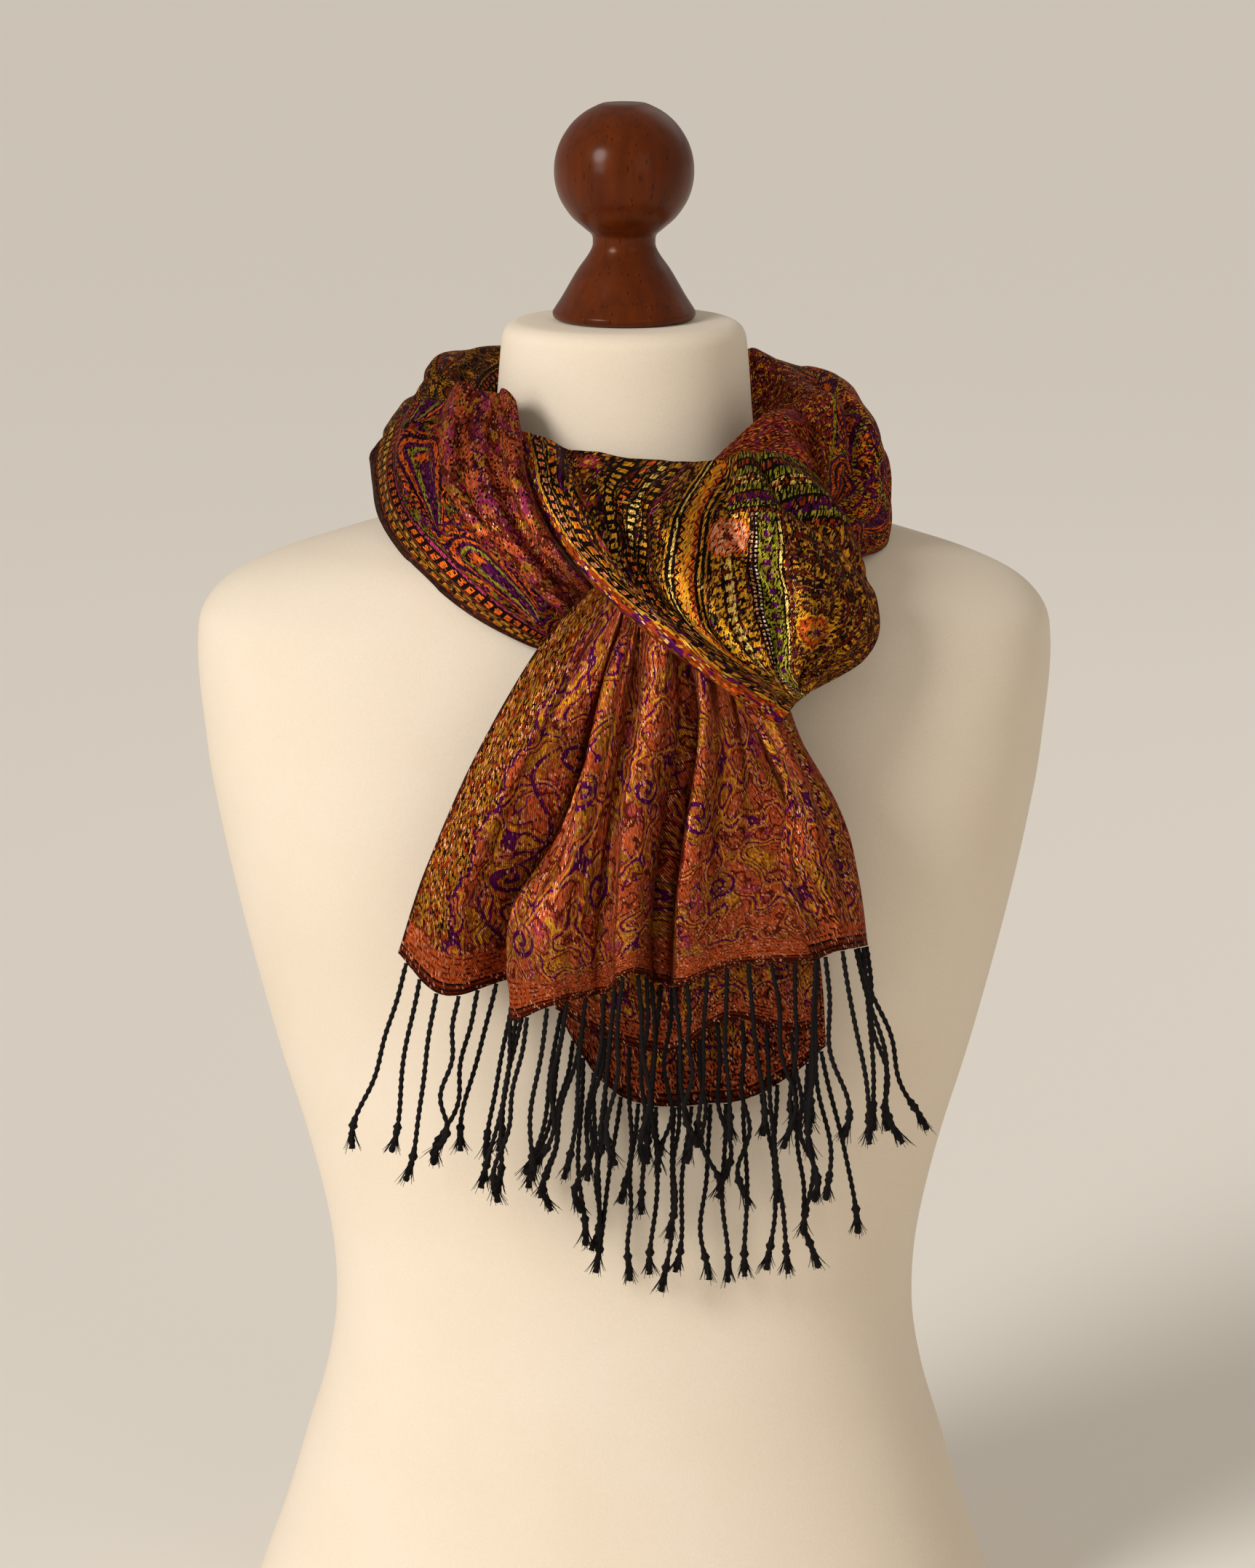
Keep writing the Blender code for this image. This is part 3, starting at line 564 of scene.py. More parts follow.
class Loom:
    """Jacquard silk: draws the pattern of one cloth, layer on layer, and its weave.

    Silk floats are smooth and lie side by side, so the cloth shines in the colour of its
    threads, and each float catches the light by itself. A real float is about 0.2 x 0.6 mm.
    It is drawn 0.55 x 1.4 mm, because a finer one doesn't show in the render.
    """

    FLOAT = (0.55, 1.4)     # width and length of one float of the weave
    TWILL = (0.35, 0.5)     # how far its rows and its courses slant
    STEP = 0.37             # how far each row is moved on against the last one
    EDGE = 9.0              # how sharply a float is of one dye or the next
    FLECK_EDGE = 14.0       # the same for single floats

    def __init__(self, name: str, ground: Dye) -> None:
        """Starts the material.

        Args:
            name: Its name.
            ground: The dye of the threads that show where no other layer does.
        """
        self.material, self.tree, self.shader = new_material(name)
        place = add_node(self.tree, "ShaderNodeUVMap", {}, uv_map=CLOTH_UV)
        parts = add_node(self.tree, "ShaderNodeSeparateXYZ", {0: place.outputs[0]})
        self.across = Field(self.tree, parts.outputs[0]) * (1 / MM)
        self.along = Field(self.tree, parts.outputs[1]) * (1 / MM)
        self.colour = ground.rgba
        self._set_threads()

    def _set_threads(self) -> None:
        """Cells as large as one float of the weave, slanted as in a twill, each with its chance."""
        row = (self.across + self.along * self.TWILL[0]) / self.FLOAT[0]
        course = (self.along - self.across * self.TWILL[1]) / self.FLOAT[1]
        cell = add_node(
            self.tree, "ShaderNodeCombineXYZ",
            {0: row.floor(), 1: (course + row.floor() * self.STEP).floor()},
        )
        noise = add_node(
            self.tree, "ShaderNodeTexWhiteNoise", {"Vector": cell.outputs[0]},
            noise_dimensions="2D",
        )
        chances = add_node(self.tree, "ShaderNodeSeparateColor", {0: noise.outputs["Color"]})
        self.chance, self.other_chance, self.third_chance = (
            Field(self.tree, output) for output in chances.outputs
        )
        round_thread = ((row.math("FRACT") - 0.5) * math.pi).math("COSINE")
        self.relief = round_thread * (self.third_chance * 0.6 + 0.4)

    def noise(self, size: float, detail: float = 1.0, stretch: float = 1.0, seed: float = 0.0) -> Field:
        """Soft noise on the cloth.

        Args:
            size: The size of its patches across, in millimetres.
            detail: How many finer layers it has.
            stretch: How much longer than wide its patches are.
            seed: Which noise it is.

        Returns:
            A number from 0 to 1.
        """
        spot = add_node(
            self.tree, "ShaderNodeCombineXYZ",
            {0: self.across / size, 1: self.along / (size * stretch), 2: seed},
        )
        node = add_node(
            self.tree, "ShaderNodeTexNoise",
            {"Vector": spot.outputs[0], "Scale": 1.0, "Detail": detail, "Roughness": 0.5},
        )
        return Field(self.tree, node.outputs[0])

    def paint(self, mask: Number, dye: Dye, cover: float = 0.8) -> None:
        """Weaves a dye in.

        Args:
            mask: Where, from 0 to 1.
            dye: The dye.
            cover: The share of its threads that come to the face there.
        """
        shown = (self.chance - mask * cover) * -self.EDGE
        self._lay(shown.math("ADD", 0.5, clamp=True), dye)

    def fleck(self, mask: Number, dye: Dye, cover: float) -> None:
        """Strews single floats of a dye, whatever the layers below show.

        Args:
            mask: Where, from 0 to 1.
            dye: The dye.
            cover: The share of the floats there that take it.
        """
        shown = (self.other_chance - mask * cover) * -self.FLECK_EDGE
        self._lay(shown.math("ADD", 0.5, clamp=True), dye)

    def _lay(self, factor: Field, dye: Dye) -> None:
        """Lays the dye over the colour so far, by the factor."""
        node = add_node(
            self.tree, "ShaderNodeMix", {0: factor, 6: self.colour, 7: dye.rgba}, data_type="RGBA"
        )
        self.colour = node.outputs[2]

    def finish(self, gain: float = 1.2) -> bpy.types.Material:
        """Gives the cloth its thread relief, painted shade between its floats, a painted glint on each
        float, its uneven dye and its gloss.

        Args:
            gain: How bright its threads are, against their dyes.

        Returns:
            The material.
        """
        # Painted shade between floats, where the dark warp also shows; a painted glint that
        # lights each float a little more or less; and broad patches of more and less dye.
        warp_and_painted_shade = self.relief * 0.55 + 0.45
        shade = warp_and_painted_shade * (self.third_chance * 0.9 + self.noise(30.0, 2.0) * 0.3 + 0.7) * gain
        lit = add_node(
            self.tree, "ShaderNodeHueSaturation",
            {"Value": shade, "Color": self.colour},
        )
        bump = add_node(
            self.tree, "ShaderNodeBump",
            {"Height": self.relief, "Strength": 0.8, "Distance": 0.2 * MM},
        )
        gloss = self.other_chance * 0.2 + 0.32      # silk is smooth: 0.32 to 0.52, by the float
        self.tree.links.new(lit.outputs[0], self.shader.inputs["Base Color"])
        self.tree.links.new(bump.outputs[0], self.shader.inputs["Normal"])
        self.tree.links.new(gloss.socket, self.shader.inputs["Roughness"])
        set_gloss(self.shader, {
            "Metallic": 0.75, "Specular IOR Level": 0.15, "Specular Tint": linear("#9a6446"),
            "Sheen Weight": 0.05, "Sheen Roughness": 0.35, "Sheen Tint": linear("#d98a62"),
        })
        return self.material


@dataclass(frozen=True)
class Band:
    """One band of a border: its middle and width across the cloth, and what it holds."""

    at: float
    width: float
    dye: Dye
    block: float = 0.0      # length of each block along the band, or 0 for a plain band
    pitch: float = 0.0
    shift: float = 0.0
    cover: float = 0.85


def draw_bands(loom: Loom, u: Field, v: Field, bands: Sequence[Band]) -> None:
    """Weaves the bands of a border in.

    Args:
        loom: The loom.
        u: The coordinate across the bands.
        v: The coordinate along them.
        bands: The bands, the lowest first.
    """
    for band in bands:
        x = u - band.at
        if band.block:
            mask = blocks(x, v, (band.width, band.block), band.pitch, band.shift)
        else:
            mask = stripe(x, band.width)
        loom.paint(mask, band.dye, band.cover)


def draw_filigree(loom: Loom, mask: Number, size: float, dyes: Sequence[Dye], cover: float = 0.75) -> None:
    """Weaves fine curling lines in, as the edges between patches of soft noise.

    Args:
        loom: The loom.
        mask: Where, from 0 to 1.
        size: The size of the patches, in millimetres.
        dyes: The dyes, one for each set of lines.
        cover: The share of their threads that come to the face.
    """
    for index, dye in enumerate(dyes):
        lines = abs(loom.noise(size, 1.5, 1.3, seed=7.0 + 3.1 * index) - 0.5).below(0.035, 0.02)
        loom.paint(lines * mask, dye, cover)


def draw_paisleys(
    loom: Loom,
    u: Field,
    v: Field,
    pitch: tuple[float, float],
    size: tuple[float, float],
    dyes: Sequence[Dye],
    mask: Number = 1.0,
    cover: float = 0.85,
) -> None:
    """Weaves in columns of nested paisleys, every second one half a pitch down and facing back.

    Args:
        loom: The loom.
        u: The coordinate across the cloth.
        v: The coordinate along it.
        pitch: The distance from one to the next, across and along.
        size: The width and length of a paisley.
        dyes: The dyes of its ticked edge and of its rings, from the outside in.
        mask: Where, from 0 to 1.
        cover: The share of their threads that come to the face.
    """
    column = (u / pitch[0]).floor()
    odd = (column * 0.5).math("FRACT") * 2.0
    x = (u.repeat(pitch[0], pitch[0] / 2)) * (odd * 2.0 - 1.0)
    y = (v + odd * (pitch[1] / 2)).repeat(pitch[1]) + size[1] * 0.22
    shape = boteh(x + y * 0.22, y, size[0], size[1], size[0] * 0.75)
    ticks = stripe((y + abs(x) * 0.6).repeat(2.6), 1.2)
    edge = shape.below(1.22, 0.04)
    loom.paint(edge * ticks * mask, dyes[0], cover)
    for limit, dye in zip((1.0, 0.84, 0.66, 0.48, 0.3), dyes[1:]):
        loom.paint(shape.below(limit, 0.05) * mask, dye, cover)
    heart = flower(x, y - size[1] * 0.02, size[0] * 0.16, 6)
    loom.paint(heart.below(1.0, 0.2) * mask, dyes[0], cover)


def draw_medallion(loom: Loom, x: Field, y: Field, radius: float, dyes: Sequence[Dye]) -> None:
    """Weaves a round flower in, as rings with a scalloped rim.

    Args:
        loom: The loom.
        x: Distance across from its middle.
        y: Distance along from its middle.
        radius: Its radius.
        dyes: The dyes of its rings, from the outside in.
    """
    rims = ((12, 0.06), (12, 0.06), (8, 0.16), (8, 0.16), (8, 0.16))
    for share, (petals, depth), dye in zip((1.0, 0.86, 0.7, 0.5, 0.26), rims, dyes):
        shape = flower(x, y, radius * share, petals, depth)
        loom.paint(shape.below(1.0, 0.06), dye, 0.9)


@dataclass(frozen=True)
class Weave:
    """The pattern of one stretch of the silk.

    Attributes:
        name: Its material's name.
        ground: The dye of the threads that show where nothing else does.
        gain: How bright its threads are, against their dyes.
    """

    name: str
    ground: Dye = Dye.INK
    gain: float = 1.2

    def draw(self, loom: Loom, u: Field, v: Field) -> None:
        """Weaves the pattern in.

        Args:
            loom: The loom.
            u: Millimetres across the cloth.
            v: Millimetres along it.
        """
        raise NotImplementedError

    def make(self) -> bpy.types.Material:
        """Makes the material."""
        loom = Loom(self.name, self.ground)
        self.draw(loom, loom.across, loom.along)
        return loom.finish(self.gain)


@dataclass(frozen=True)
class LoopWeave(Weave):
    """The face at the loop: border rows, the bright band, medallions and the lime band."""

    name: str = "silk, face at the loop"
    gain: float = 1.32

    def draw(self, loom: Loom, u: Field, v: Field) -> None:
        """Weaves in the field and its rows, then what lies over them, from left to right."""
        self._draw_field(loom, u, v)
        self._draw_rows(loom, u, v)
        self._draw_rolled_edge(loom, u, v)
        self._draw_bright_band(loom, u, v)
        self._draw_lime_band(loom, u, v)
        self._draw_beyond(loom, u, v)
        self._draw_top(loom, u, v)
        loom.fleck(1, Dye.INK, 0.12)
        loom.fleck((u - 14).below(0), Dye.STRAW, 0.05)

    def _draw_field(self, loom: Loom, u: Field, v: Field) -> None:
        """Dark ground with brown and olive patches, small gold dots and purple sprigs."""
        field = (u - 28).below(0).less_from(1)
        loom.paint(field * loom.noise(5, 2).below(0.48, 0.06), Dye.BROWN, 0.7)
        loom.paint(field * loom.noise(3.6, 2, 1, 2).below(0.43, 0.04), Dye.OLIVE, 0.55)
        draw_filigree(loom, field, 6, (Dye.OCHRE, Dye.WINE), 0.7)
        dots = stripe(u.repeat(3.4), 1.4) * stripe((v + u * 0.5).repeat(2.9), 1.5)
        dots = dots * loom.noise(7, 1, 1, 3).below(0.52, 0.06)
        loom.paint(dots * field, Dye.GOLD, 0.8)
        sprig = loom.noise(3, 1, 1, 23).below(0.35, 0.03)
        loom.paint(sprig * field, Dye.PURPLE, 0.9)

    def _draw_rows(self, loom: Loom, u: Field, v: Field) -> None:
        """A row of roses, four columns of gold blocks and a fine net."""
        rose = flower((u - 37).repeat(200), v.repeat(19, 6), 4.4, 7)
        loom.paint(rose.below(1, 0.1), Dye.RUST, 1)
        loom.paint(rose.below(0.72, 0.1), Dye.MAGENTA, 0.9)
        loom.paint(rose.below(0.4, 0.1), Dye.GOLD, 0.9)
        columns = ((46, Dye.GOLD), (52, Dye.ORANGE), (57.5, Dye.STRAW), (63, Dye.GOLD))
        for column, dye in columns:
            loom.paint(stripe(u - column, 4.2), Dye.INK, 1.1)
            loom.paint(blocks(u - column, v, (2.4, 1.9), 3.6, column), dye, 0.85)
        loom.paint(stripe(u - 66.6, 0.9), Dye.MAGENTA, 0.9)
        net = stripe(u.repeat(4.4, 70.5), 2.6) * stripe(v.repeat(3.3, 1), 1.5)
        loom.paint(net * stripe(u - 71, 7), Dye.OCHRE, 0.85)

    def _draw_rolled_edge(self, loom: Loom, u: Field, v: Field) -> None:
        """The rust edge that rolls under, and the dark border next to it."""
        edge = (u - 12.5).below(0)
        loom.paint(edge, Dye.RUST, 0.92)
        loom.paint(edge * loom.noise(4.5, 2, 1.4, 5).below(0.41, 0.04), Dye.ORANGE, 0.7)
        loom.paint(edge * loom.noise(5, 1, 1.3, 11).below(0.46, 0.04), Dye.PURPLE, 0.9)
        loom.paint(edge * loom.noise(3.5, 1, 1, 17).below(0.36, 0.04), Dye.GOLD, 0.85)
        draw_bands(loom, u, v, [
            Band(13, 1.6, Dye.GOLD),
            Band(19.5, 11, Dye.INK, cover=1.2),
            Band(16.6, 2.8, Dye.ROSE, 2, 3.6),
            Band(16.6, 1.2, Dye.ORANGE, 2, 3.6),
            Band(19.4, 0.7, Dye.OCHRE),
            Band(22.8, 3.6, Dye.GOLD, 2.8, 4.8, 1),
            Band(22.8, 1.6, Dye.ORANGE, 2.8, 4.8, 1),
            Band(26.2, 1.2, Dye.PURPLE, cover=1),
        ])

    def _draw_bright_band(self, loom: Loom, u: Field, v: Field) -> None:
        """The broad orange and gold band with its zigzags, its keys and its row of medallions."""
        draw_bands(loom, u, v, [
            Band(84, 17, Dye.INK, cover=1.2),
            Band(76.4, 1, Dye.GOLD),
            Band(79, 1, Dye.STRAW),
            Band(84.6, 7.4, Dye.ORANGE, cover=0.95),
            Band(84, 5.2, Dye.GOLD, cover=0.75),
            Band(90.2, 1, Dye.GOLD),
            Band(92.6, 0.9, Dye.OCHRE),
        ])
        loom.paint(zigzag(u - 81.4, v, 1.1, 4.4, 1.1), Dye.INK, 1.1)
        loom.paint(zigzag(u - 87.4, v, 1.1, 4.4, 1.1), Dye.WINE, 1.1)
        for column, dye in ((97, Dye.GOLD), (102, Dye.STRAW), (106.5, Dye.GOLD)):
            key = blocks(u - column, v, (3.2, 2.2), 4.6, column)
            loom.paint(key, dye, 0.85)
            loom.paint(blocks(u - column - 1, v, (1.2, 4.6), 9.2, column), dye, 0.85)
        draw_medallion(
            loom, u - 101, v - 34, 9.6, (Dye.ORANGE, Dye.ROSE, Dye.CORAL, Dye.ROSE, Dye.WINE)
        )

    def _draw_lime_band(self, loom: Loom, u: Field, v: Field) -> None:
        """The lime band with its purple blocks, between dotted lines."""
        draw_bands(loom, u, v, [
            Band(116, 13, Dye.INK, cover=1.2),
            Band(110.8, 0.9, Dye.ROSE, 1.2, 2),
            Band(112.6, 0.8, Dye.CREAM, 1, 2),
            Band(117, 7, Dye.LIME, cover=0.65),
            Band(117, 2.6, Dye.PURPLE, 2.6, 6.4, cover=1),
            Band(121.6, 0.9, Dye.STRAW),
            Band(123.4, 0.9, Dye.WINE),
        ])

    def _draw_beyond(self, loom: Loom, u: Field, v: Field) -> None:
        """Beyond the lime band: brown and ochre leaves, and rings round a second medallion."""
        beyond = (u - 124.5).below(0).less_from(1)
        loom.paint(beyond * loom.noise(5, 2, 1, 31).below(0.47, 0.05), Dye.BROWN, 0.9)
        leaf = abs(loom.noise(6.5, 1.5, 1, 37) - 0.5).below(0.03, 0.02)
        loom.paint(beyond * leaf, Dye.OCHRE, 0.8)
        arcs = away((u - 128) * 1.3, v - 62)
        loom.paint(beyond * stripe(arcs.repeat(7.5, 1), 1.3), Dye.WINE, 0.9)
        spokes = (u - 128).math("ARCTAN2", v - 62).repeat(0.16)
        ring = stripe(arcs.repeat(15, 4), 3) * stripe(spokes, 0.07, 0.02)
        loom.paint(beyond * ring, Dye.GOLD, 0.85)
        draw_medallion(
            loom, u - 134, v - 74, 10.5, (Dye.GOLD, Dye.RUST, Dye.ORANGE, Dye.OCHRE, Dye.PURPLE)
        )

    def _draw_top(self, loom: Loom, u: Field, v: Field) -> None:
        """The corner at the neck, where the rows run across the cloth."""
        top = v.below(23) * (u - 97).below(0).less_from(1)
        loom.paint(top, Dye.INK, 1.2)
        loom.paint(top * stripe(v.repeat(6.2, 1), 2.6) * stripe(u.repeat(2.4), 1.7), Dye.LIME, 0.65)
        loom.paint(top * stripe(v.repeat(6.2, 4.1), 1.9) * stripe(u.repeat(3.2), 2.1), Dye.RUST, 0.75)
        loom.paint(top * stripe(v - 10.5, 4.6) * stripe(v.repeat(1.9), 1.1), Dye.STRAW, 0.4)
        loom.paint(top * stripe(v - 17.5, 3.6) * loom.noise(3, 1).below(0.5, 0.05), Dye.PURPLE, 0.9)


@dataclass(frozen=True)
class LeftWeave(Weave):
    """The left wrap: its border rows from the outer edge, paisleys, then ridges of the reverse."""

    name: str = "silk, left wrap"

    def draw(self, loom: Loom, u: Field, v: Field) -> None:
        """Weaves in the paisleys, the border over them, and the reverse along the inner edge."""
        u = u + v * 0.06 - 17
        loom.paint(loom.noise(4, 2).below(0.5, 0.05), Dye.RUST, 0.85)
        draw_filigree(loom, 1, 8, (Dye.ORANGE, Dye.PURPLE, Dye.OLIVE), 0.85)
        draw_paisleys(
            loom, u - 12, v + 16, (36, 58), (24, 44),
            (Dye.ORANGE, Dye.PLUM, Dye.ORANGE, Dye.PURPLE, Dye.LIME, Dye.PURPLE),
        )
        draw_bands(loom, u, v, [
            Band(0, 34, Dye.INK, cover=1.3),
            Band(-9, 14, Dye.BROWN, cover=0.6),
            Band(-3.4, 0.9, Dye.RUST),
            Band(-0.4, 3.6, Dye.GOLD, 3.8, 5.6),
            Band(-0.4, 1.6, Dye.ORANGE, 2, 5.6),
            Band(2.6, 0.8, Dye.OCHRE),
            Band(6, 4.2, Dye.GOLD, 4, 5.6, 2),
            Band(6, 2, Dye.STRAW, 2.4, 5.6, 2),
            Band(9.6, 0.9, Dye.RUST),
            Band(12.2, 2.8, Dye.ORANGE, 2.6, 4.4),
            Band(15, 1.2, Dye.MAGENTA),
            Band(16.6, 1, Dye.OLIVE),
        ])
        reverse = (u - 40).below(0, 3).less_from(1)
        loom.paint(reverse, Dye.CORAL, 0.9)
        loom.paint(reverse * loom.noise(7, 2, 2, 4).below(0.5, 0.06), Dye.WINE, 0.9)
        loom.paint(reverse * loom.noise(6, 2, 2.5, 9).below(0.43, 0.05), Dye.MAGENTA, 0.8)
        loom.paint(reverse * loom.noise(5, 1, 1.5, 13).below(0.4, 0.05), Dye.OCHRE, 0.85)
        loom.paint(reverse * zigzag((u - 58).repeat(26), v, 1.4, 9, 2), Dye.PURPLE, 0.85)
        loom.fleck(reverse, Dye.ROSE, 0.16)
        loom.fleck(reverse, Dye.CREAM, 0.03)
        loom.fleck(1, Dye.INK, 0.1)


@dataclass(frozen=True)
class BackWeave(Weave):
    """The wrap round the back: dark, with paisleys, small flowers in rows and edge rows."""

    name: str = "silk, back wrap"

    def draw(self, loom: Loom, u: Field, v: Field) -> None:
        """Weaves in the paisleys and flowers, then a border along both edges."""
        draw_filigree(loom, 1, 8, (Dye.OLIVE, Dye.OCHRE, Dye.WINE), 0.75)
        draw_paisleys(
            loom, u, v, (34, 52), (20, 38),
            (Dye.GOLD, Dye.OCHRE, Dye.INK, Dye.RUST, Dye.OLIVE, Dye.PURPLE), 1, 0.75,
        )
        small = flower(u.repeat(17, 3), v.repeat(26, 4), 3.2, 6)
        loom.paint(small.below(1, 0.15), Dye.GOLD, 0.75)
        draw_bands(loom, u, v, [
            Band(6.5, 15, Dye.INK, cover=1.3),
            Band(2.4, 0.9, Dye.WINE),
            Band(5.4, 2.6, Dye.GOLD, 3, 5.6),
            Band(9.8, 2.6, Dye.ORANGE, 2.2, 4.8),
            Band(13, 1, Dye.OCHRE),
            Band(118, 13, Dye.INK, cover=1.3),
            Band(114, 1, Dye.OCHRE),
            Band(117, 2.6, Dye.ORANGE, 2.2, 4.8),
            Band(121, 2.6, Dye.GOLD, 3, 5.6),
        ])
        loom.fleck(1, Dye.BROWN, 0.2)


@dataclass(frozen=True)
class RightWeave(Weave):
    """The right wrap: orange and purple paisleys outlined in lime, and folds of the reverse."""

    name: str = "silk, right wrap"
    ground: Dye = Dye.WINE

    def draw(self, loom: Loom, u: Field, v: Field) -> None:
        """Weaves in the paisleys on one side of a slanting line, and the reverse on the other."""
        line = u + v * 0.16 - 34
        outer = line.below(0).less_from(1)
        loom.paint(outer * loom.noise(5, 2).below(0.56, 0.05), Dye.ORANGE, 0.8)
        loom.paint(outer * loom.noise(6, 2, 1.2, 6).below(0.42, 0.05), Dye.INK, 0.8)
        draw_filigree(loom, outer, 7, (Dye.GOLD, Dye.PURPLE), 0.8)
        draw_paisleys(
            loom, u - 42, v + 12, (36, 50), (28, 44),
            (Dye.LIME, Dye.PURPLE, Dye.ORANGE, Dye.PLUM, Dye.ORANGE, Dye.PURPLE), outer,
        )
        inner = outer.less_from(1)
        loom.paint(inner, Dye.RUST, 0.7)
        loom.paint(inner * loom.noise(3.4, 2, 1.3, 4).below(0.46, 0.05), Dye.MAGENTA, 0.7)
        loom.paint(inner * loom.noise(3, 1, 1.3, 13).below(0.45, 0.05), Dye.GOLD, 0.75)
        loom.paint(inner * loom.noise(3.6, 1, 1, 17).below(0.38, 0.05), Dye.PLUM, 0.9)
        loom.paint(stripe(line, 1.7), Dye.LIME, 0.9)
        loom.fleck(1, Dye.INK, 0.24)


@dataclass(frozen=True)
class FoldWeave(Weave):
    """The plain coral twill of the reverse, with fine gold floats."""

    name: str = "silk, right fold"
    ground: Dye = Dye.WINE

    def draw(self, loom: Loom, u: Field, v: Field) -> None:
        """Weaves in uneven coral and magenta, then single bright and dark floats."""
        loom.paint(loom.noise(14, 2, 2), Dye.CORAL, 1)
        loom.paint(loom.noise(6, 2, 2, 5).below(0.46, 0.08), Dye.MAGENTA, 0.5)
        loom.fleck(1, Dye.ORANGE, 0.2)
        loom.fleck(1, Dye.INK, 0.25)
        loom.fleck(1, Dye.GOLD, 0.1)


class Scroll(NamedTuple):
    """A spiral on a tail: how far across it lies, how far above the hem, and its radius."""

    across: float
    above: float
    radius: float


@dataclass(frozen=True)
class TailWeave(Weave):
    """The reverse on a tail: ochre border, coral ground with vines and scrolls, striped hem.

    Attributes:
        border: Width of the ochre border along the left edge, or 0 for none.
        plain: Height of the plain coral twill above the hem.
        scrolls: The spirals of the vine.
        dark: The share of extra dark floats, painted shade that dims a tail behind the others.
    """

    ground: Dye = Dye.WINE
    gain: float = 0.98
    border: float = 0.0
    plain: float = 14.0
    scrolls: tuple[Scroll, ...] = ()
    dark: float = 0.0

    def draw(self, loom: Loom, u: Field, v: Field) -> None:
        """Weaves in the ground, the vines, the border and the hem, one over the other."""
        loom.paint(loom.noise(26, 1, 1.5) * 0.6 + 0.7, Dye.CORAL, 1)
        ogee = loom.noise(12, 2, 1.6, 3)
        loom.paint(ogee.below(0.46, 0.05), Dye.OCHRE, 0.7)
        loom.paint(ogee.below(0.38, 0.05), Dye.GOLD, 0.6)
        loom.paint(loom.noise(12, 1.5, 1.6, 21).below(0.38, 0.05), Dye.MAGENTA, 0.6)
        loom.paint(abs(ogee - 0.46).below(0.008, 0.008), Dye.PURPLE, 1)
        loom.paint(abs(ogee - 0.58).below(0.012, 0.012), Dye.WINE, 1)
        curls = abs(loom.noise(17, 1, 1.3, 41) - 0.5)
        loom.paint(curls.below(0.009, 0.006), Dye.PURPLE, 1.1)
        loom.paint(abs(curls - 0.03).below(0.008, 0.006), Dye.GOLD, 0.9)
        loom.paint(abs(curls - 0.07).below(0.009, 0.006), Dye.WINE, 0.9)
        vine = stripe(u - (self.border + 14) - v.wave(54) * 6, 1.5)
        loom.paint(vine, Dye.PURPLE, 0.95)
        for across, above, radius in self.scrolls:
            x, y = u - across, v - above
            loom.paint(away(x, y).below(radius * 1.25, 1), Dye.OCHRE, 0.5)
            loom.paint(scroll(x, y, radius, radius * 0.62, 1.9), Dye.PURPLE, 1.2)
        loom.fleck(1, Dye.ROSE, 0.09)
        if self.border:
            stepped = u + self._steps(v) - self.border
            border = stepped.below(0)
            loom.paint(border, Dye.RUST, 1.2)
            loom.paint(border * loom.noise(4, 2).below(0.52, 0.06), Dye.OCHRE, 0.9)
            diamond = stripe((u + v * 0.6).repeat(5), 1.6) * stripe((u - v * 0.6).repeat(5), 3)
            loom.paint(border * diamond, Dye.GOLD, 0.7)
            loom.paint(stripe(stepped, 1.5), Dye.PURPLE, 1)
            loom.fleck(border, Dye.INK, 0.4)
            loom.fleck(border, Dye.STRAW, 0.05)
        plain = (v - self.plain).below(0, 2)
        loom.paint(plain, Dye.CORAL, 1)
        loom.paint(plain * stripe(v.repeat(2.2), 0.8) * loom.noise(5).below(0.55, 0.1), Dye.WINE, 0.8)
        loom.fleck(plain, Dye.ORANGE, 0.22)
        draw_bands(loom, v, u, [
            Band(2.4, 4.8, Dye.WINE, cover=1.2),
            Band(0.5, 1, Dye.BROWN, cover=1.2),
            Band(2, 0.6, Dye.INK, cover=1.1),
            Band(3.4, 0.6, Dye.RUST),
            Band(4.7, 0.7, Dye.INK, cover=1.1),
        ])
        loom.paint((u - 1.2).below(0), Dye.BROWN, 1)
        loom.fleck(1, Dye.WINE, 0.12)
        # Extra dark floats on a tail behind the others: painted shade that dims it.
        loom.fleck(1, Dye.INK, 0.04 + self.dark)
        loom.fleck(1, Dye.ROSE, 0.08)

    def _steps(self, v: Field) -> Field:
        """How far the stepped edge of the ochre border stands out along the cloth."""
        return abs(v.repeat(26)) * 0.35 + (v.repeat(8.7) / 4.4).math("ROUND") * 0.9


def smooth_rows(rows: Sequence, at: np.ndarray) -> np.ndarray:
    """Catmull-Rom curve through rows of numbers.

    Args:
        rows: The rows, such as points or whole lines of points.
        at: Places along them, from 0 to 1.

    Returns:
        One row for each place. Between rows b and c, with a before and d after, at share t:
        (2b + (c - a) t + (2a - 5b + 4c - d) t^2 + (3b - a - 3c + d) t^3) / 2.
    """
    rows = np.asarray(rows, float)
    last = len(rows) - 1
    place = np.clip(np.asarray(at, float), 0, 1) * last
    index = np.minimum(place.astype(int), last - 1)
    share = (place - index).reshape((-1,) + (1,) * (rows.ndim - 1))
    at_first = (index == 0).reshape(share.shape)
    at_last = (index == last - 1).reshape(share.shape)
    start, end = rows[index], rows[index + 1]
    before = np.where(at_first, 2 * start - end, rows[np.maximum(index - 1, 0)])
    after = np.where(at_last, 2 * end - start, rows[np.minimum(index + 2, last)])
    return 0.5 * (
        2 * start
        + (end - before) * share
        + (2 * before - 5 * start + 4 * end - after) * share**2
        + (3 * start - before - 3 * end + after) * share**3
    )


def unit(vectors: np.ndarray) -> np.ndarray:
    """The vectors at length 1."""
    return vectors / np.maximum(np.linalg.norm(vectors, axis=-1, keepdims=True), 1e-9)


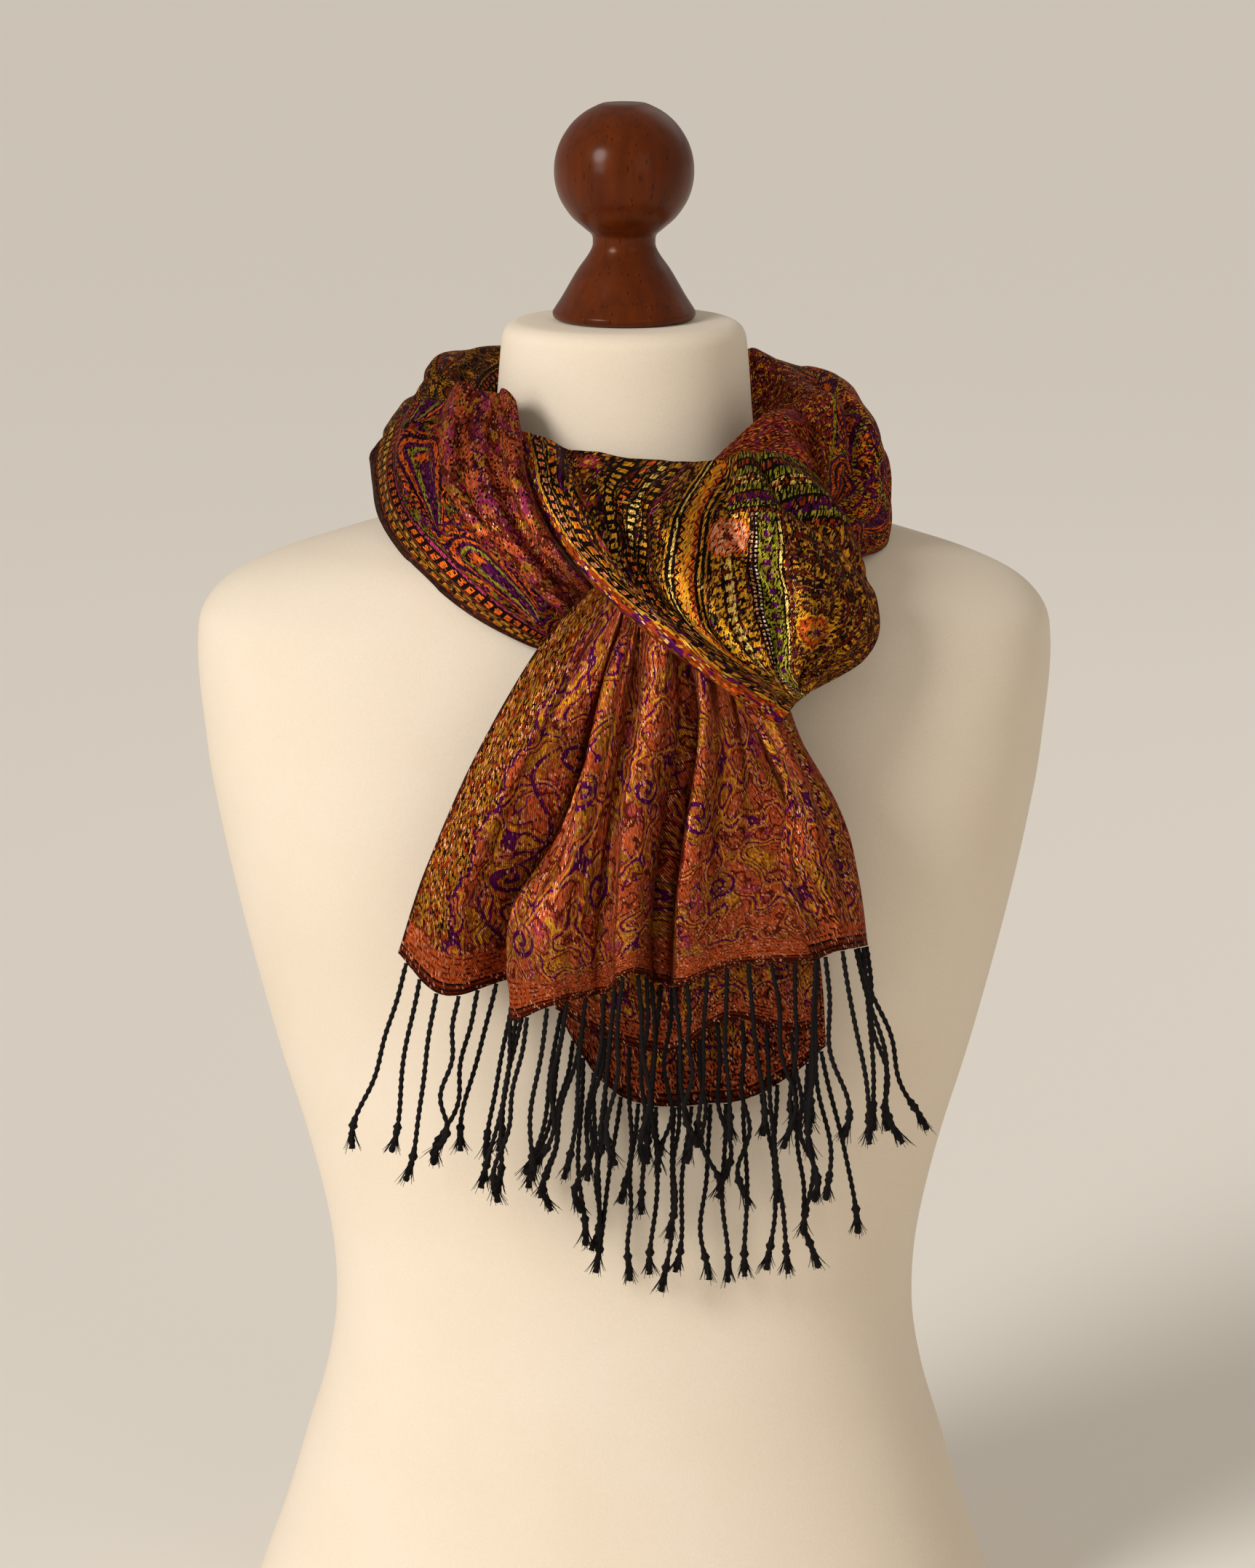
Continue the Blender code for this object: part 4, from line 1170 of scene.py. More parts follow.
def grid_normals(points: np.ndarray) -> np.ndarray:
    """The unit normals of a grid of points, to whichever side its rows and columns give."""
    return unit(np.cross(np.gradient(points, axis=0), np.gradient(points, axis=1)))


def normals_of(points: np.ndarray) -> np.ndarray:
    """The unit normals of a grid of points, turned away from the form's axis."""
    normal = grid_normals(points)
    outward = points * (1.0, 1.0, 0.0)
    return normal if (normal * outward).sum() > 0 else -normal


def form_value(points: np.ndarray) -> np.ndarray:
    """How far outside the dress form points are, as a share of its radius there.

    Args:
        points: The points, one a row.

    Returns:
        (|x / half|^p + |y / depth|^p)^(1 / p) - 1, with the values of the form at height z.
    """
    heights = [ring.z for ring in FORM_RINGS]
    half, front, back, power = (
        np.interp(points[:, 2], heights, [getattr(ring, name) for ring in FORM_RINGS])
        for name in ("half_width", "front", "back", "squareness")
    )
    depth = np.where(points[:, 1] < 0, front, back)
    across = np.abs(points[:, 0]) / half
    along = np.abs(points[:, 1]) / depth
    return (across**power + along**power) ** (1 / power) - 1


def clear_of_form(points: np.ndarray, step: float = 0.4, rounds: int = 8) -> np.ndarray:
    """Moves points that are nearer the form than its clearance out to it.

    Args:
        points: A grid of points.
        step: How far apart the form's value is taken for its slope, in millimetres.
        rounds: How often each point is moved.

    Returns:
        The grid. A round moves each point along the slope by what it is short of the clearance.
    """
    flat = points.reshape(-1, 3).copy()
    for _ in range(rounds):
        slope = np.stack(
            [
                (form_value(flat + shift) - form_value(flat - shift)) / (2 * step)
                for shift in step * np.eye(3)
            ],
            axis=1,
        )
        steepness = np.maximum(np.linalg.norm(slope, axis=1), 1e-6)
        short = FORM_CLEARANCE - form_value(flat) / steepness
        flat += slope * (np.clip(short, 0, 12.0) / steepness)[:, None]
    return flat.reshape(points.shape)


@dataclass(frozen=True)
class Crease:
    """A soft trough or ridge along a line on the cloth.

    Attributes:
        line: The line's points, as shares across and along the cloth.
        height: How far it stands out, in millimetres, or below 0 how deep it is.
        width: Its half width in millimetres.
    """

    line: tuple[tuple[float, float], ...]
    height: float
    width: float


def crease_heights(shares: np.ndarray, size: tuple[float, float], creases: Sequence[Crease]) -> np.ndarray:
    """How far the creases lift each point of a cloth.

    Args:
        shares: Across and along shares of each point, in the last axis.
        size: Width and length of the cloth, in millimetres.
        creases: The creases.

    Returns:
        The height at each point: at distance d from a crease and share a along it, the sum of
        height * exp(-(d / width)^2) * sqrt(sin(pi * (0.06 + 0.88 a))).
    """
    places = shares * size
    heights = np.zeros(places.shape[:-1])
    for crease in creases:
        stops = np.array(crease.line) * size
        nearest = np.full(heights.shape, np.inf)
        along_line = np.zeros(heights.shape)
        for index, (start, end) in enumerate(zip(stops[:-1], stops[1:])):
            run = end - start
            share = np.clip(((places - start) @ run) / (run @ run), 0, 1)
            distance = np.linalg.norm(places - start - share[..., None] * run, axis=-1)
            closer = distance < nearest
            nearest = np.where(closer, distance, nearest)
            along_line = np.where(closer, (index + share) / (len(stops) - 1), along_line)
        taper = np.sqrt(np.sin(math.pi * (0.06 + 0.88 * along_line)))
        heights += crease.height * np.exp(-((nearest / crease.width) ** 2)) * taper
    return heights


def ripple(shares: np.ndarray, size: tuple[float, float], amount: float) -> np.ndarray:
    """The faint unevenness of the cloth.

    Args:
        shares: Across and along shares of each point, in the last axis.
        size: Width and length of the cloth, in millimetres.
        amount: How uneven it is.

    Returns:
        The height at each point: three sines across the cloth whose phases drift along it.
    """
    x, y = np.moveaxis(shares * size, -1, 0)
    return amount * (
        0.5 * np.sin(TWO_PI * x / 23 + 1.6 * np.sin(TWO_PI * y / 61))
        + 0.35 * np.sin(TWO_PI * x / 13.7 + TWO_PI * y / 190)
        + 0.25 * np.sin(TWO_PI * x / 8.3 - TWO_PI * y / 97 + 1.1)
    )


ROLL_TUCK = 5.0                     # how far the cloth runs on under a rolled fold
ROLL_TUCK_STOPS = (0.35, 0.7, 1.0)  # where the columns of that part lie, as shares of it


def rolled_under(
    points: np.ndarray, places: np.ndarray, radius: float
) -> tuple[np.ndarray, np.ndarray]:
    """Adds a rolled fold at the first column of a grid: half a turn, then a tuck underneath.

    Args:
        points: Rows along the cloth, columns across it.
        places: The cloth coordinates of the points.
        radius: The radius of the roll.

    Returns:
        The grids with the new columns before the first one. At angle a of the roll a point is
        edge + radius * (sin(a) * outward - (1 - cos(a)) * normal).
    """
    edge, normal = points[:, 0], normals_of(points)[:, 0]
    outward = unit(points[:, 0] - points[:, 2])
    turn = np.linspace(0, math.pi, 8)[1:]
    columns = [
        edge + radius * (math.sin(a) * outward - (1 - math.cos(a)) * normal) for a in turn
    ]
    columns += [columns[-1] - outward * ROLL_TUCK * share for share in ROLL_TUCK_STOPS]
    reach = np.concatenate([radius * turn, radius * math.pi + ROLL_TUCK * np.array(ROLL_TUCK_STOPS)])
    under = np.repeat(places[:, :1], len(reach), axis=1)
    under[:, :, 0] -= reach[None, :]
    return (
        np.concatenate([np.stack(columns, axis=1)[:, ::-1], points], axis=1),
        np.concatenate([under[:, ::-1], places], axis=1),
    )


def in_scene(name: str, data: bpy.types.ID) -> bpy.types.Object:
    """Puts a mesh, a light or a camera in the scene, as an object of this name."""
    made = bpy.data.objects.new(name, data)
    bpy.context.scene.collection.objects.link(made)
    return made


def stand_in(made: bpy.types.Object, node: str) -> None:
    """Puts a piece on the body, in place of its solid, which is hidden."""
    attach(made, BODY)
    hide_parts(node)


def mesh_object(
    name: str, points: np.ndarray, faces: Sequence[Sequence[int]], material: bpy.types.Material
) -> bpy.types.Object:
    """Makes a smooth mesh object.

    Args:
        name: The name of the object and of its mesh.
        points: Its points in millimetres.
        faces: The numbers of the points of each face.
        material: Its material.

    Returns:
        The object, in the scene.
    """
    mesh = bpy.data.meshes.new(name)
    mesh.from_pydata((np.asarray(points).reshape(-1, 3) * MM).tolist(), [], faces)
    mesh.materials.append(material)
    mesh.shade_smooth()
    return in_scene(name, mesh)


def grid_faces(rows: int, columns: int, closed: bool = False, flip: bool = False) -> np.ndarray:
    """The four-sided faces between the points of a grid.

    Args:
        rows: Its rows.
        columns: Its columns.
        closed: Whether faces also run from its last column to its first.
        flip: Whether the faces are turned round.

    Returns:
        The numbers of the four points of each face.
    """
    index = np.arange(rows * columns).reshape(rows, columns)
    if closed:
        index = np.concatenate([index, index[:, :1]], axis=1)
    corners = [index[:-1, :-1], index[:-1, 1:], index[1:, 1:], index[1:, :-1]]
    faces = np.stack(corners, axis=-1).reshape(-1, 4)
    return faces[:, ::-1] if flip else faces


def cloth_object(
    name: str, points: np.ndarray, places: np.ndarray, material: bpy.types.Material
) -> bpy.types.Object:
    """Makes a thin cloth shell.

    Args:
        name: Its name.
        points: The grid of points through its middle.
        places: The cloth coordinates of the points, which become its UV map.
        material: Its material.

    Returns:
        The shell, in the scene.
    """
    rows, columns = points.shape[:2]
    flip = (grid_normals(points) * normals_of(points)).sum() > 0
    faces = grid_faces(rows, columns, flip=bool(flip))
    cloth = mesh_object(name, points, faces.tolist(), material)
    layer = cloth.data.uv_layers.new(name=CLOTH_UV)
    layer.data.foreach_set("uv", (places.reshape(-1, 2)[faces.reshape(-1)] * MM).ravel())
    shell = cloth.modifiers.new("shell", "SOLIDIFY")
    shell.thickness = SHELL * MM
    shell.offset = 0.0
    return cloth


class Edge(Enum):
    """An edge of a stretch that runs on out of sight."""

    INNER = "first column"
    FRONT = "last row"


@dataclass(frozen=True)
class Tuck:
    """How far the cloth runs on at an edge, under the stretch that covers it."""

    edge: Edge
    reach: Point
    slide: float        # millimetres of cloth in the tuck

    def added(self, points: np.ndarray, places: np.ndarray) -> tuple[np.ndarray, np.ndarray]:
        """Adds the tuck to a stretch.

        Args:
            points: Its points, rows along the cloth and columns across it.
            places: Their cloth coordinates.

        Returns:
            The grids with four more columns or rows, at edge + share * reach.
        """
        shares = np.array([0.25, 0.5, 0.75, 1.0])
        if self.edge is Edge.INNER:
            more = points[:, :1] + shares[None, ::-1, None] * self.reach
            under = np.repeat(places[:, :1], 4, axis=1)
            under[:, :, 0] -= shares[None, ::-1] * self.slide
            return np.concatenate([more, points], 1), np.concatenate([under, places], 1)
        more = points[-1:] + shares[:, None, None] * self.reach
        under = np.repeat(places[-1:], 4, axis=0)
        under[:, :, 1] += shares[:, None] * self.slide
        return np.concatenate([points, more], 0), np.concatenate([places, under], 0)


@dataclass(frozen=True)
class Stretch:
    """One stretch of the shawl that shows.

    Attributes:
        node: The solid that it stands for, and the piece's name.
        cut: Width and length of the cloth that shows, in millimetres.
        grid: Points across and along.
        weave: Its pattern.
        creases: Its main creases.
        amount: How uneven it is, in millimetres.
        held: How it is held, and rests_on what it lies on. Neither is used.
        from_far: Whether cloth coordinates across start at its far edge.
        from_hem: Whether those along start at its hem.
        roll: Radius of the rolled fold at its first edge, or 0.
        shown: Share of the cut that shows, where the rest is gathered out of sight. It is not used.
        tucks: Where it runs on under what covers it.
    """

    node: str
    cut: tuple[float, float]
    grid: tuple[int, int]
    weave: Weave
    creases: tuple[Crease, ...] = ()
    amount: float = 0.5
    held: str = "draped"
    rests_on: tuple[str, ...] = ("form_torso",)
    from_far: bool = False
    from_hem: bool = False
    roll: float = 0.0
    shown: float = 1.0
    tucks: tuple[Tuck, ...] = ()

    def base(self, shares_across: np.ndarray, shares_along: np.ndarray) -> np.ndarray:
        """The points of the stretch before its creases, one row for each share along it."""
        raise NotImplementedError

    def places(self, shares: np.ndarray) -> np.ndarray:
        """The cloth coordinates at shares across and along, in millimetres."""
        across = 1 - shares[..., 0] if self.from_far else shares[..., 0]
        along = 1 - shares[..., 1] if self.from_hem else shares[..., 1]
        return np.stack([across * self.cut[0], along * self.cut[1]], axis=-1)

    def points(self) -> tuple[np.ndarray, np.ndarray]:
        """The finished surface.

        Returns:
            Its points, and their shares across and along.
        """
        across, along = (np.linspace(0, 1, count) for count in self.grid)
        base = self.base(across, along)
        shares = np.stack(np.meshgrid(across, along), axis=-1)
        lift = crease_heights(shares, self.cut, self.creases)
        lift += ripple(shares, self.cut, self.amount)
        return clear_of_form(base + normals_of(base) * lift[..., None]), shares

    def build(self) -> bpy.types.Object:
        """Returns:
            The shell.
        """
        points, shares = self.points()
        places = self.places(shares)
        if self.roll:
            points, places = rolled_under(points, places, self.roll)
        for tuck in self.tucks:
            points, places = tuck.added(points, places)
        points = clear_of_form(points)
        cloth = cloth_object(self.node + "_cloth", points, places, self.weave.make())
        stand_in(cloth, self.node)
        return cloth


@dataclass(frozen=True)
class ArchedStretch(Stretch):
    """A stretch that arches round the neck, through sections with folds along them.

    Attributes:
        sections: Its sections, from its inner edge over its crest to its outer edge.
        folds: Its folds.
        roundness: From 0, a flat arch, to 1, a half-round one.
    """

    sections: tuple[Line, ...] = ()
    folds: tuple[Fold, ...] = ()
    roundness: float = 1.0

    def base(self, shares_across: np.ndarray, shares_along: np.ndarray) -> np.ndarray:
        """The arched points.

        Args:
            shares_across: Places s across the cloth.
            shares_along: Places along it.

        Returns:
            middle + (outer - middle) * reach + (crest - middle) * lift, where reach mixes
            -cos(pi s) and 2 s - 1, and lift mixes sin(pi s) and 4 s (1 - s), by the roundness.
            Each fold adds rise * exp(-((s - centre) / width)^2) along the normal.
        """
        s, t = shares_across, shares_along
        inner, crest, outer = np.moveaxis(smooth_rows(self.sections, t), 1, 0)
        middle = (inner + outer) / 2
        flat = 1 - self.roundness
        reach = -self.roundness * np.cos(math.pi * s) + flat * (2 * s - 1)
        lift = self.roundness * np.sin(math.pi * s) + flat * 4 * s * (1 - s)
        points = (
            middle[:, None]
            + (outer - middle)[:, None] * reach[None, :, None]
            + (crest - middle)[:, None] * lift[None, :, None]
        )
        normal = grid_normals(points)
        if (normal * (crest - middle)[:, None]).sum() < 0:
            normal = -normal
        for fold in self.folds:
            centre = fold.start_at + (fold.end_at - fold.start_at) * t
            rise = fold.start_rise + (fold.end_rise - fold.start_rise) * t
            ridge = np.exp(-(((s[None, :] - centre[:, None]) / fold.width) ** 2))
            points = points + normal * (rise[:, None] * ridge)[..., None]
        return points


@dataclass(frozen=True)
class HungStretch(Stretch):
    """A stretch hung on lines, smooth along each line and from each line to the next.

    Attributes:
        lines: Its lines, from its left edge to its right edge.
    """

    lines: tuple[Line, ...] = ()

    def base(self, shares_across: np.ndarray, shares_along: np.ndarray) -> np.ndarray:
        """Points on Catmull-Rom curves along the lines, then across them."""
        drawn = smooth_rows(np.moveaxis(np.asarray(self.lines, float), 1, 0), shares_along)
        return np.moveaxis(smooth_rows(np.moveaxis(drawn, 1, 0), shares_across), 1, 0)


@dataclass(frozen=True)
class LoopStretch(HungStretch):
    """The front loop, whose pattern follows its own lines from the neck to the knot."""

    def places(self, shares: np.ndarray) -> np.ndarray:
        """Cloth coordinates whose bands slide under the rolled edge towards the knot.

        Args:
            shares: Shares across and along, in the last axis.

        Returns:
            The coordinates. Across, they run through the marks' places at each share along.
        """
        table = smooth_rows([mark[1:] for mark in LOOP_MARKS], np.linspace(0, 1, len(LOOP_MARKS)))
        values = np.array([mark.across for mark in LOOP_MARKS])
        stations = np.linspace(0, 1, table.shape[1])
        across = np.empty(shares.shape[:2])
        for row, along in enumerate(shares[:, 0, 1]):
            at = [np.interp(along, stations, mark) for mark in table]
            across[row] = np.interp(shares[row, :, 0], at, values)
        return np.stack([across, shares[..., 1] * self.cut[1]], axis=-1)


@dataclass(frozen=True)
class FringeSilk:
    """Black twisted silk: loose fibres take its gloss, so a cord shows only a dim grey gleam.

    Attributes:
        fibres: Scale of the noise that stands for its fibres.
        roughness: Its least and its greatest roughness.
        relief: How far the fibres stand out, in millimetres.
    """

    fibres: float = 900.0
    roughness: tuple[float, float] = (0.55, 0.85)
    relief: float = 0.3

    def make(self) -> bpy.types.Material:
        """Builds its nodes.

        Returns:
            The material.
        """
        material, tree, shader = new_material("silk, fringe")
        noise = add_node(tree, "ShaderNodeTexNoise", {"Scale": self.fibres, "Detail": 2.0})
        ramp = add_node(
            tree, "ShaderNodeMapRange",
            {"Value": noise.outputs[0], "To Min": self.roughness[0], "To Max": self.roughness[1]},
        )
        tint = add_node(
            tree, "ShaderNodeMix",
            {0: noise.outputs[0], 6: linear("#060404"), 7: linear("#171010")}, data_type="RGBA",
        )
        bump = add_node(
            tree, "ShaderNodeBump",
            {"Height": noise.outputs[0], "Strength": 0.4, "Distance": self.relief * MM},
        )
        tree.links.new(tint.outputs[2], shader.inputs["Base Color"])
        tree.links.new(ramp.outputs[0], shader.inputs["Roughness"])
        tree.links.new(bump.outputs[0], shader.inputs["Normal"])
        set_gloss(shader, {"Specular IOR Level": 0.15})
        return material


@dataclass(frozen=True)
class Strand:
    """The section of a twisted strand: its size, its twist and how fine its mesh is."""

    radius: float = 1.25
    pitch: float = 7.0
    sides: int = 8
    step: float = 1.1
    fibres: int = 16
    fibre_radius: float = 0.27


@dataclass(frozen=True)
class FringeStrands:
    """The fringe of one hem: every strand is two plies, a knot and a teased end.

    Attributes:
        node: The solid that it stands for.
        fringe: How its strands hang.
        strand: Their section.
        curl: How far a strand curls aside at its end, in millimetres.
        stray: How far its lean strays, as a share of its length.
    """

    SWAY_SEED = 100         # added to the fringe's seed for the curls
    FIBRE_SEED = 200        # and for the fibres of the teased ends

    node: str
    fringe: Fringe
    strand: Strand = Strand()
    curl: float = 4.2
    stray: float = 0.1

    def paths(self, roots: np.ndarray) -> list[np.ndarray]:
        """The middle lines of the strands.

        Args:
            roots: Where the strands leave the hem.

        Returns:
            The points of each, one a step. At share s down a strand it is aside by lean *
            length * s, by swing * s * sin(wave) and by curl * s * sin(turns * s).
        """
        fringe = self.fringe
        chance = np.random.default_rng(fringe.seed)
        place = np.linspace(0, 1, fringe.count)
        length = chance.uniform(fringe.shortest, fringe.longest, fringe.count)
        lean = fringe.lean_first + (fringe.lean_last - fringe.lean_first) * place
        phase = 2.4 * place * fringe.count * STRAND_CROWDING + chance.uniform(0, 1, fringe.count)
        bend = chance.uniform(0.7, 1.3, fringe.count)
        sway = np.random.default_rng(fringe.seed + self.SWAY_SEED).uniform(-1, 1, (fringe.count, 3))
        paths = []
        for index in range(fringe.count):
            count = int(length[index] / self.strand.step)
            share = np.linspace(0, 1, count)
            wave = np.sin(TWO_PI * 0.8 * bend[index] * share + phase[index])
            wave = (wave - wave[0]) * fringe.swing * share
            turns = 1.6 + 0.7 * sway[index, 0]
            curl = np.sin(TWO_PI * turns * share) * self.curl * sway[index, 1]
            side = (lean[index] + self.stray * sway[index, 2]) * length[index] * share
            side = side + wave + curl * share
            depth = 0.4 * fringe.swing * np.cos(phase[index]) * share**2
            forward = min(roots[index, 1], fringe.front_limit) - roots[index, 1]
            depth = depth + forward * np.minimum(share * 4, 1)
            path = np.stack([side, depth, -length[index] * share], axis=1)
            paths.append(roots[index] + path)
        return paths

    def tube(self, path: np.ndarray, radii: np.ndarray, twist: float) -> np.ndarray:
        """The surface of a strand of two plies.

        Args:
            path: The points of its middle line.
            radii: Its radius at each.
            twist: How far its plies turn, in radians a millimetre.

        Returns:
            A ring for each point, at radius * (0.8 + 0.2 cos(2 (angle - twist * distance))).
        """
        along = unit(np.gradient(path, axis=0))
        side = unit(np.cross(along, (0.0, 1.0, 0.0)))
        other = np.cross(along, side)
        run = np.concatenate([[0], np.cumsum(np.linalg.norm(np.diff(path, axis=0), axis=1))])
        angle = np.arange(self.strand.sides) / self.strand.sides * TWO_PI
        lobes = 0.8 + 0.2 * np.cos(2 * (angle[None] - twist * run[:, None]))
        reach = (radii[:, None] * lobes)[..., None]
        return path[:, None] + reach * (
            np.cos(angle)[None, :, None] * side[:, None]
            + np.sin(angle)[None, :, None] * other[:, None]
        )

    def radii(self, share: np.ndarray) -> np.ndarray:
        """The radius down a strand: the cord, its knot, and the neck of the teased end."""
        stops = (0.0, 0.02, 0.83, 0.855, 0.88, 0.9, 0.93, 1.0)
        sizes = (0.8, 1.0, 1.0, 1.75, 1.8, 1.15, 1.5, 1.2)
        return np.interp(share, stops, sizes) * self.strand.radius

    def fibre_rings(self, path: np.ndarray, chance: np.random.Generator) -> np.ndarray:
        """The fibres of a teased end, which flare from below the knot.

        Args:
            path: The middle line of its strand.
            chance: Where the random numbers come from.

        Returns:
            A thin tapering tube for each, which flares by reach * t ** 1.4.
        """
        count, start = self.strand.fibres, int(len(path) * 0.9)
        neck, fall = path[start], unit(path[-1] - path[start])
        angle = chance.uniform(0, TWO_PI, count)
        reach = chance.uniform(0.8, 4.4, count)
        length = chance.uniform(0.75, 1.25, count) * np.linalg.norm(path[-1] - neck)
        t = np.linspace(0, 1, 5)[None, :, None]
        out = np.stack([np.cos(angle), np.sin(angle), np.zeros(count)], axis=1)[:, None]
        start_out = out * self.strand.radius * 0.8
        middle = neck + start_out + out * reach[:, None, None] * t**1.4
        middle = middle + fall * length[:, None, None] * t
        ring = np.arange(3) / 3 * TWO_PI
        round_it = np.stack([np.cos(ring), np.sin(ring), np.zeros(3)], axis=1)
        size = self.strand.fibre_radius * (1.3 - 0.8 * t)[..., None]
        return middle[:, :, None] + size * round_it

    def build(self, hem: np.ndarray, material: bpy.types.Material) -> bpy.types.Object:
        """Makes the strands below a hem as one mesh.

        Args:
            hem: The last two rows of the cloth above, the hem last.
            material: The fringe's silk.

        Returns:
            The mesh object, on the body.
        """
        edge = hem[-1]
        fall = unit(hem[-1] - hem[-2])
        run = np.concatenate([[0], np.cumsum(np.linalg.norm(np.diff(edge, axis=0), axis=1))])
        stops = np.linspace(0.02, 0.98, self.fringe.count) * run[-1]
        start = edge + fall * 0.6
        roots = np.stack([np.interp(stops, run, start[:, axis]) for axis in range(3)], axis=1)
        chance = np.random.default_rng(self.fringe.seed + self.FIBRE_SEED)
        points: list[np.ndarray] = []
        faces: list[np.ndarray] = []
        total = 0
        for path in self.paths(roots):
            share = np.linspace(0, 1, len(path))
            rings = [self.tube(path, self.radii(share), TWO_PI / self.strand.pitch)]
            rings += list(self.fibre_rings(path, chance))
            for ring in rings:
                rows, columns = ring.shape[:2]
                points.append(ring.reshape(-1, 3))
                faces.append(grid_faces(rows, columns, closed=True) + total)
                total += rows * columns
        strands = mesh_object(
            self.node + "_strands", np.concatenate(points), np.concatenate(faces).tolist(), material
        )
        stand_in(strands, self.node)
        return strands


@dataclass(frozen=True)
class CottonJersey:
    """Fine cotton jersey: matte, so that the form reads by its soft shading alone.

    Attributes:
        stains: Scale of the noise that makes its cream uneven.
        knit: Scale of the noise that stands for its stitches, which are under a millimetre.
        relief: How far they stand out, in millimetres.
    """

    stains: float = 14.0
    knit: float = 1400.0
    relief: float = 0.4

    def make(self) -> bpy.types.Material:
        """Builds its nodes.

        Returns:
            The material.
        """
        material, tree, shader = new_material("cotton jersey")
        place = add_node(tree, "ShaderNodeTexCoord", {}).outputs["Object"]
        broad = add_node(
            tree, "ShaderNodeTexNoise", {"Vector": place, "Scale": self.stains, "Detail": 4.0}
        )
        fine = add_node(
            tree, "ShaderNodeTexNoise", {"Vector": place, "Scale": self.knit, "Detail": 2.0}
        )
        tint = add_node(
            tree, "ShaderNodeMix",
            {0: broad.outputs[0], 6: Dye.JERSEY_SHADE.rgba, 7: Dye.JERSEY.rgba},
            data_type="RGBA",
        )
        shade = add_node(
            tree, "ShaderNodeMapRange",
            {"Value": fine.outputs[0], "To Min": 0.92, "To Max": 1.06},
        )
        lit = add_node(
            tree, "ShaderNodeHueSaturation", {"Value": shade.outputs[0], "Color": tint.outputs[2]}
        )
        bump = add_node(
            tree, "ShaderNodeBump",
            {"Height": fine.outputs[0], "Strength": 0.25, "Distance": self.relief * MM},
        )
        tree.links.new(lit.outputs[0], shader.inputs["Base Color"])
        tree.links.new(bump.outputs[0], shader.inputs["Normal"])
        set_gloss(shader, {"Roughness": 0.88, "Specular IOR Level": 0.3, "Sheen Weight": 0.12})
        return material


@dataclass(frozen=True)
class StainedBeech:
    """Stained beech under varnish: a warm dark sheen over upright grain and small pores.

    Attributes:
        grain: Scales of its grain across and upwards, for streaks of about 6 x 110 mm.
        pores: Those of its pores, for flecks of about 2.4 x 11 mm; real ones are finer and
            are drawn this coarse to show at all.
        relief: How deep a pore is, in millimetres.
    """

    grain: tuple[float, float, float] = (160.0, 160.0, 9.0)
    pores: tuple[float, float, float] = (420.0, 420.0, 90.0)
    relief: float = 0.3

    def make(self) -> bpy.types.Material:
        """Builds its nodes.

        Returns:
            The material.
        """
        material, tree, shader = new_material("stained beech")
        place = add_node(tree, "ShaderNodeTexCoord", {}).outputs["Object"]
        drawn = add_node(tree, "ShaderNodeMapping", {"Vector": place, "Scale": self.grain})
        grain = add_node(
            tree, "ShaderNodeTexNoise",
            {"Vector": drawn.outputs[0], "Scale": 1.0, "Detail": 4.0, "Distortion": 0.6},
        )
        flecks = add_node(tree, "ShaderNodeMapping", {"Vector": place, "Scale": self.pores})
        pores = add_node(
            tree, "ShaderNodeTexVoronoi", {"Vector": flecks.outputs[0], "Scale": 1.0}
        )
        pore = add_node(
            tree, "ShaderNodeMapRange",
            {"Value": pores.outputs[0], "From Min": 0.1, "From Max": 0.22},
        )
        stain = add_node(
            tree, "ShaderNodeMix",
            {0: grain.outputs[0], 6: Dye.WOOD_DARK.rgba, 7: Dye.WOOD.rgba},
            data_type="RGBA",
        )
        marked = add_node(
            tree, "ShaderNodeMix",
            {0: pore.outputs[0], 6: Dye.WOOD_DARK.rgba, 7: stain.outputs[2]},
            data_type="RGBA",
        )
        bump = add_node(
            tree, "ShaderNodeBump",
            {"Height": pore.outputs[0], "Strength": 0.15, "Distance": self.relief * MM},
        )
        tree.links.new(marked.outputs[2], shader.inputs["Base Color"])
        tree.links.new(bump.outputs[0], shader.inputs["Normal"])
        set_gloss(shader, {
            "Roughness": 0.38, "Specular IOR Level": 0.3, "Specular Tint": linear("#a8703c"),
            "Coat Weight": 0.2, "Coat Roughness": 0.2, "Coat Tint": linear("#c49468"),
        })
        return material


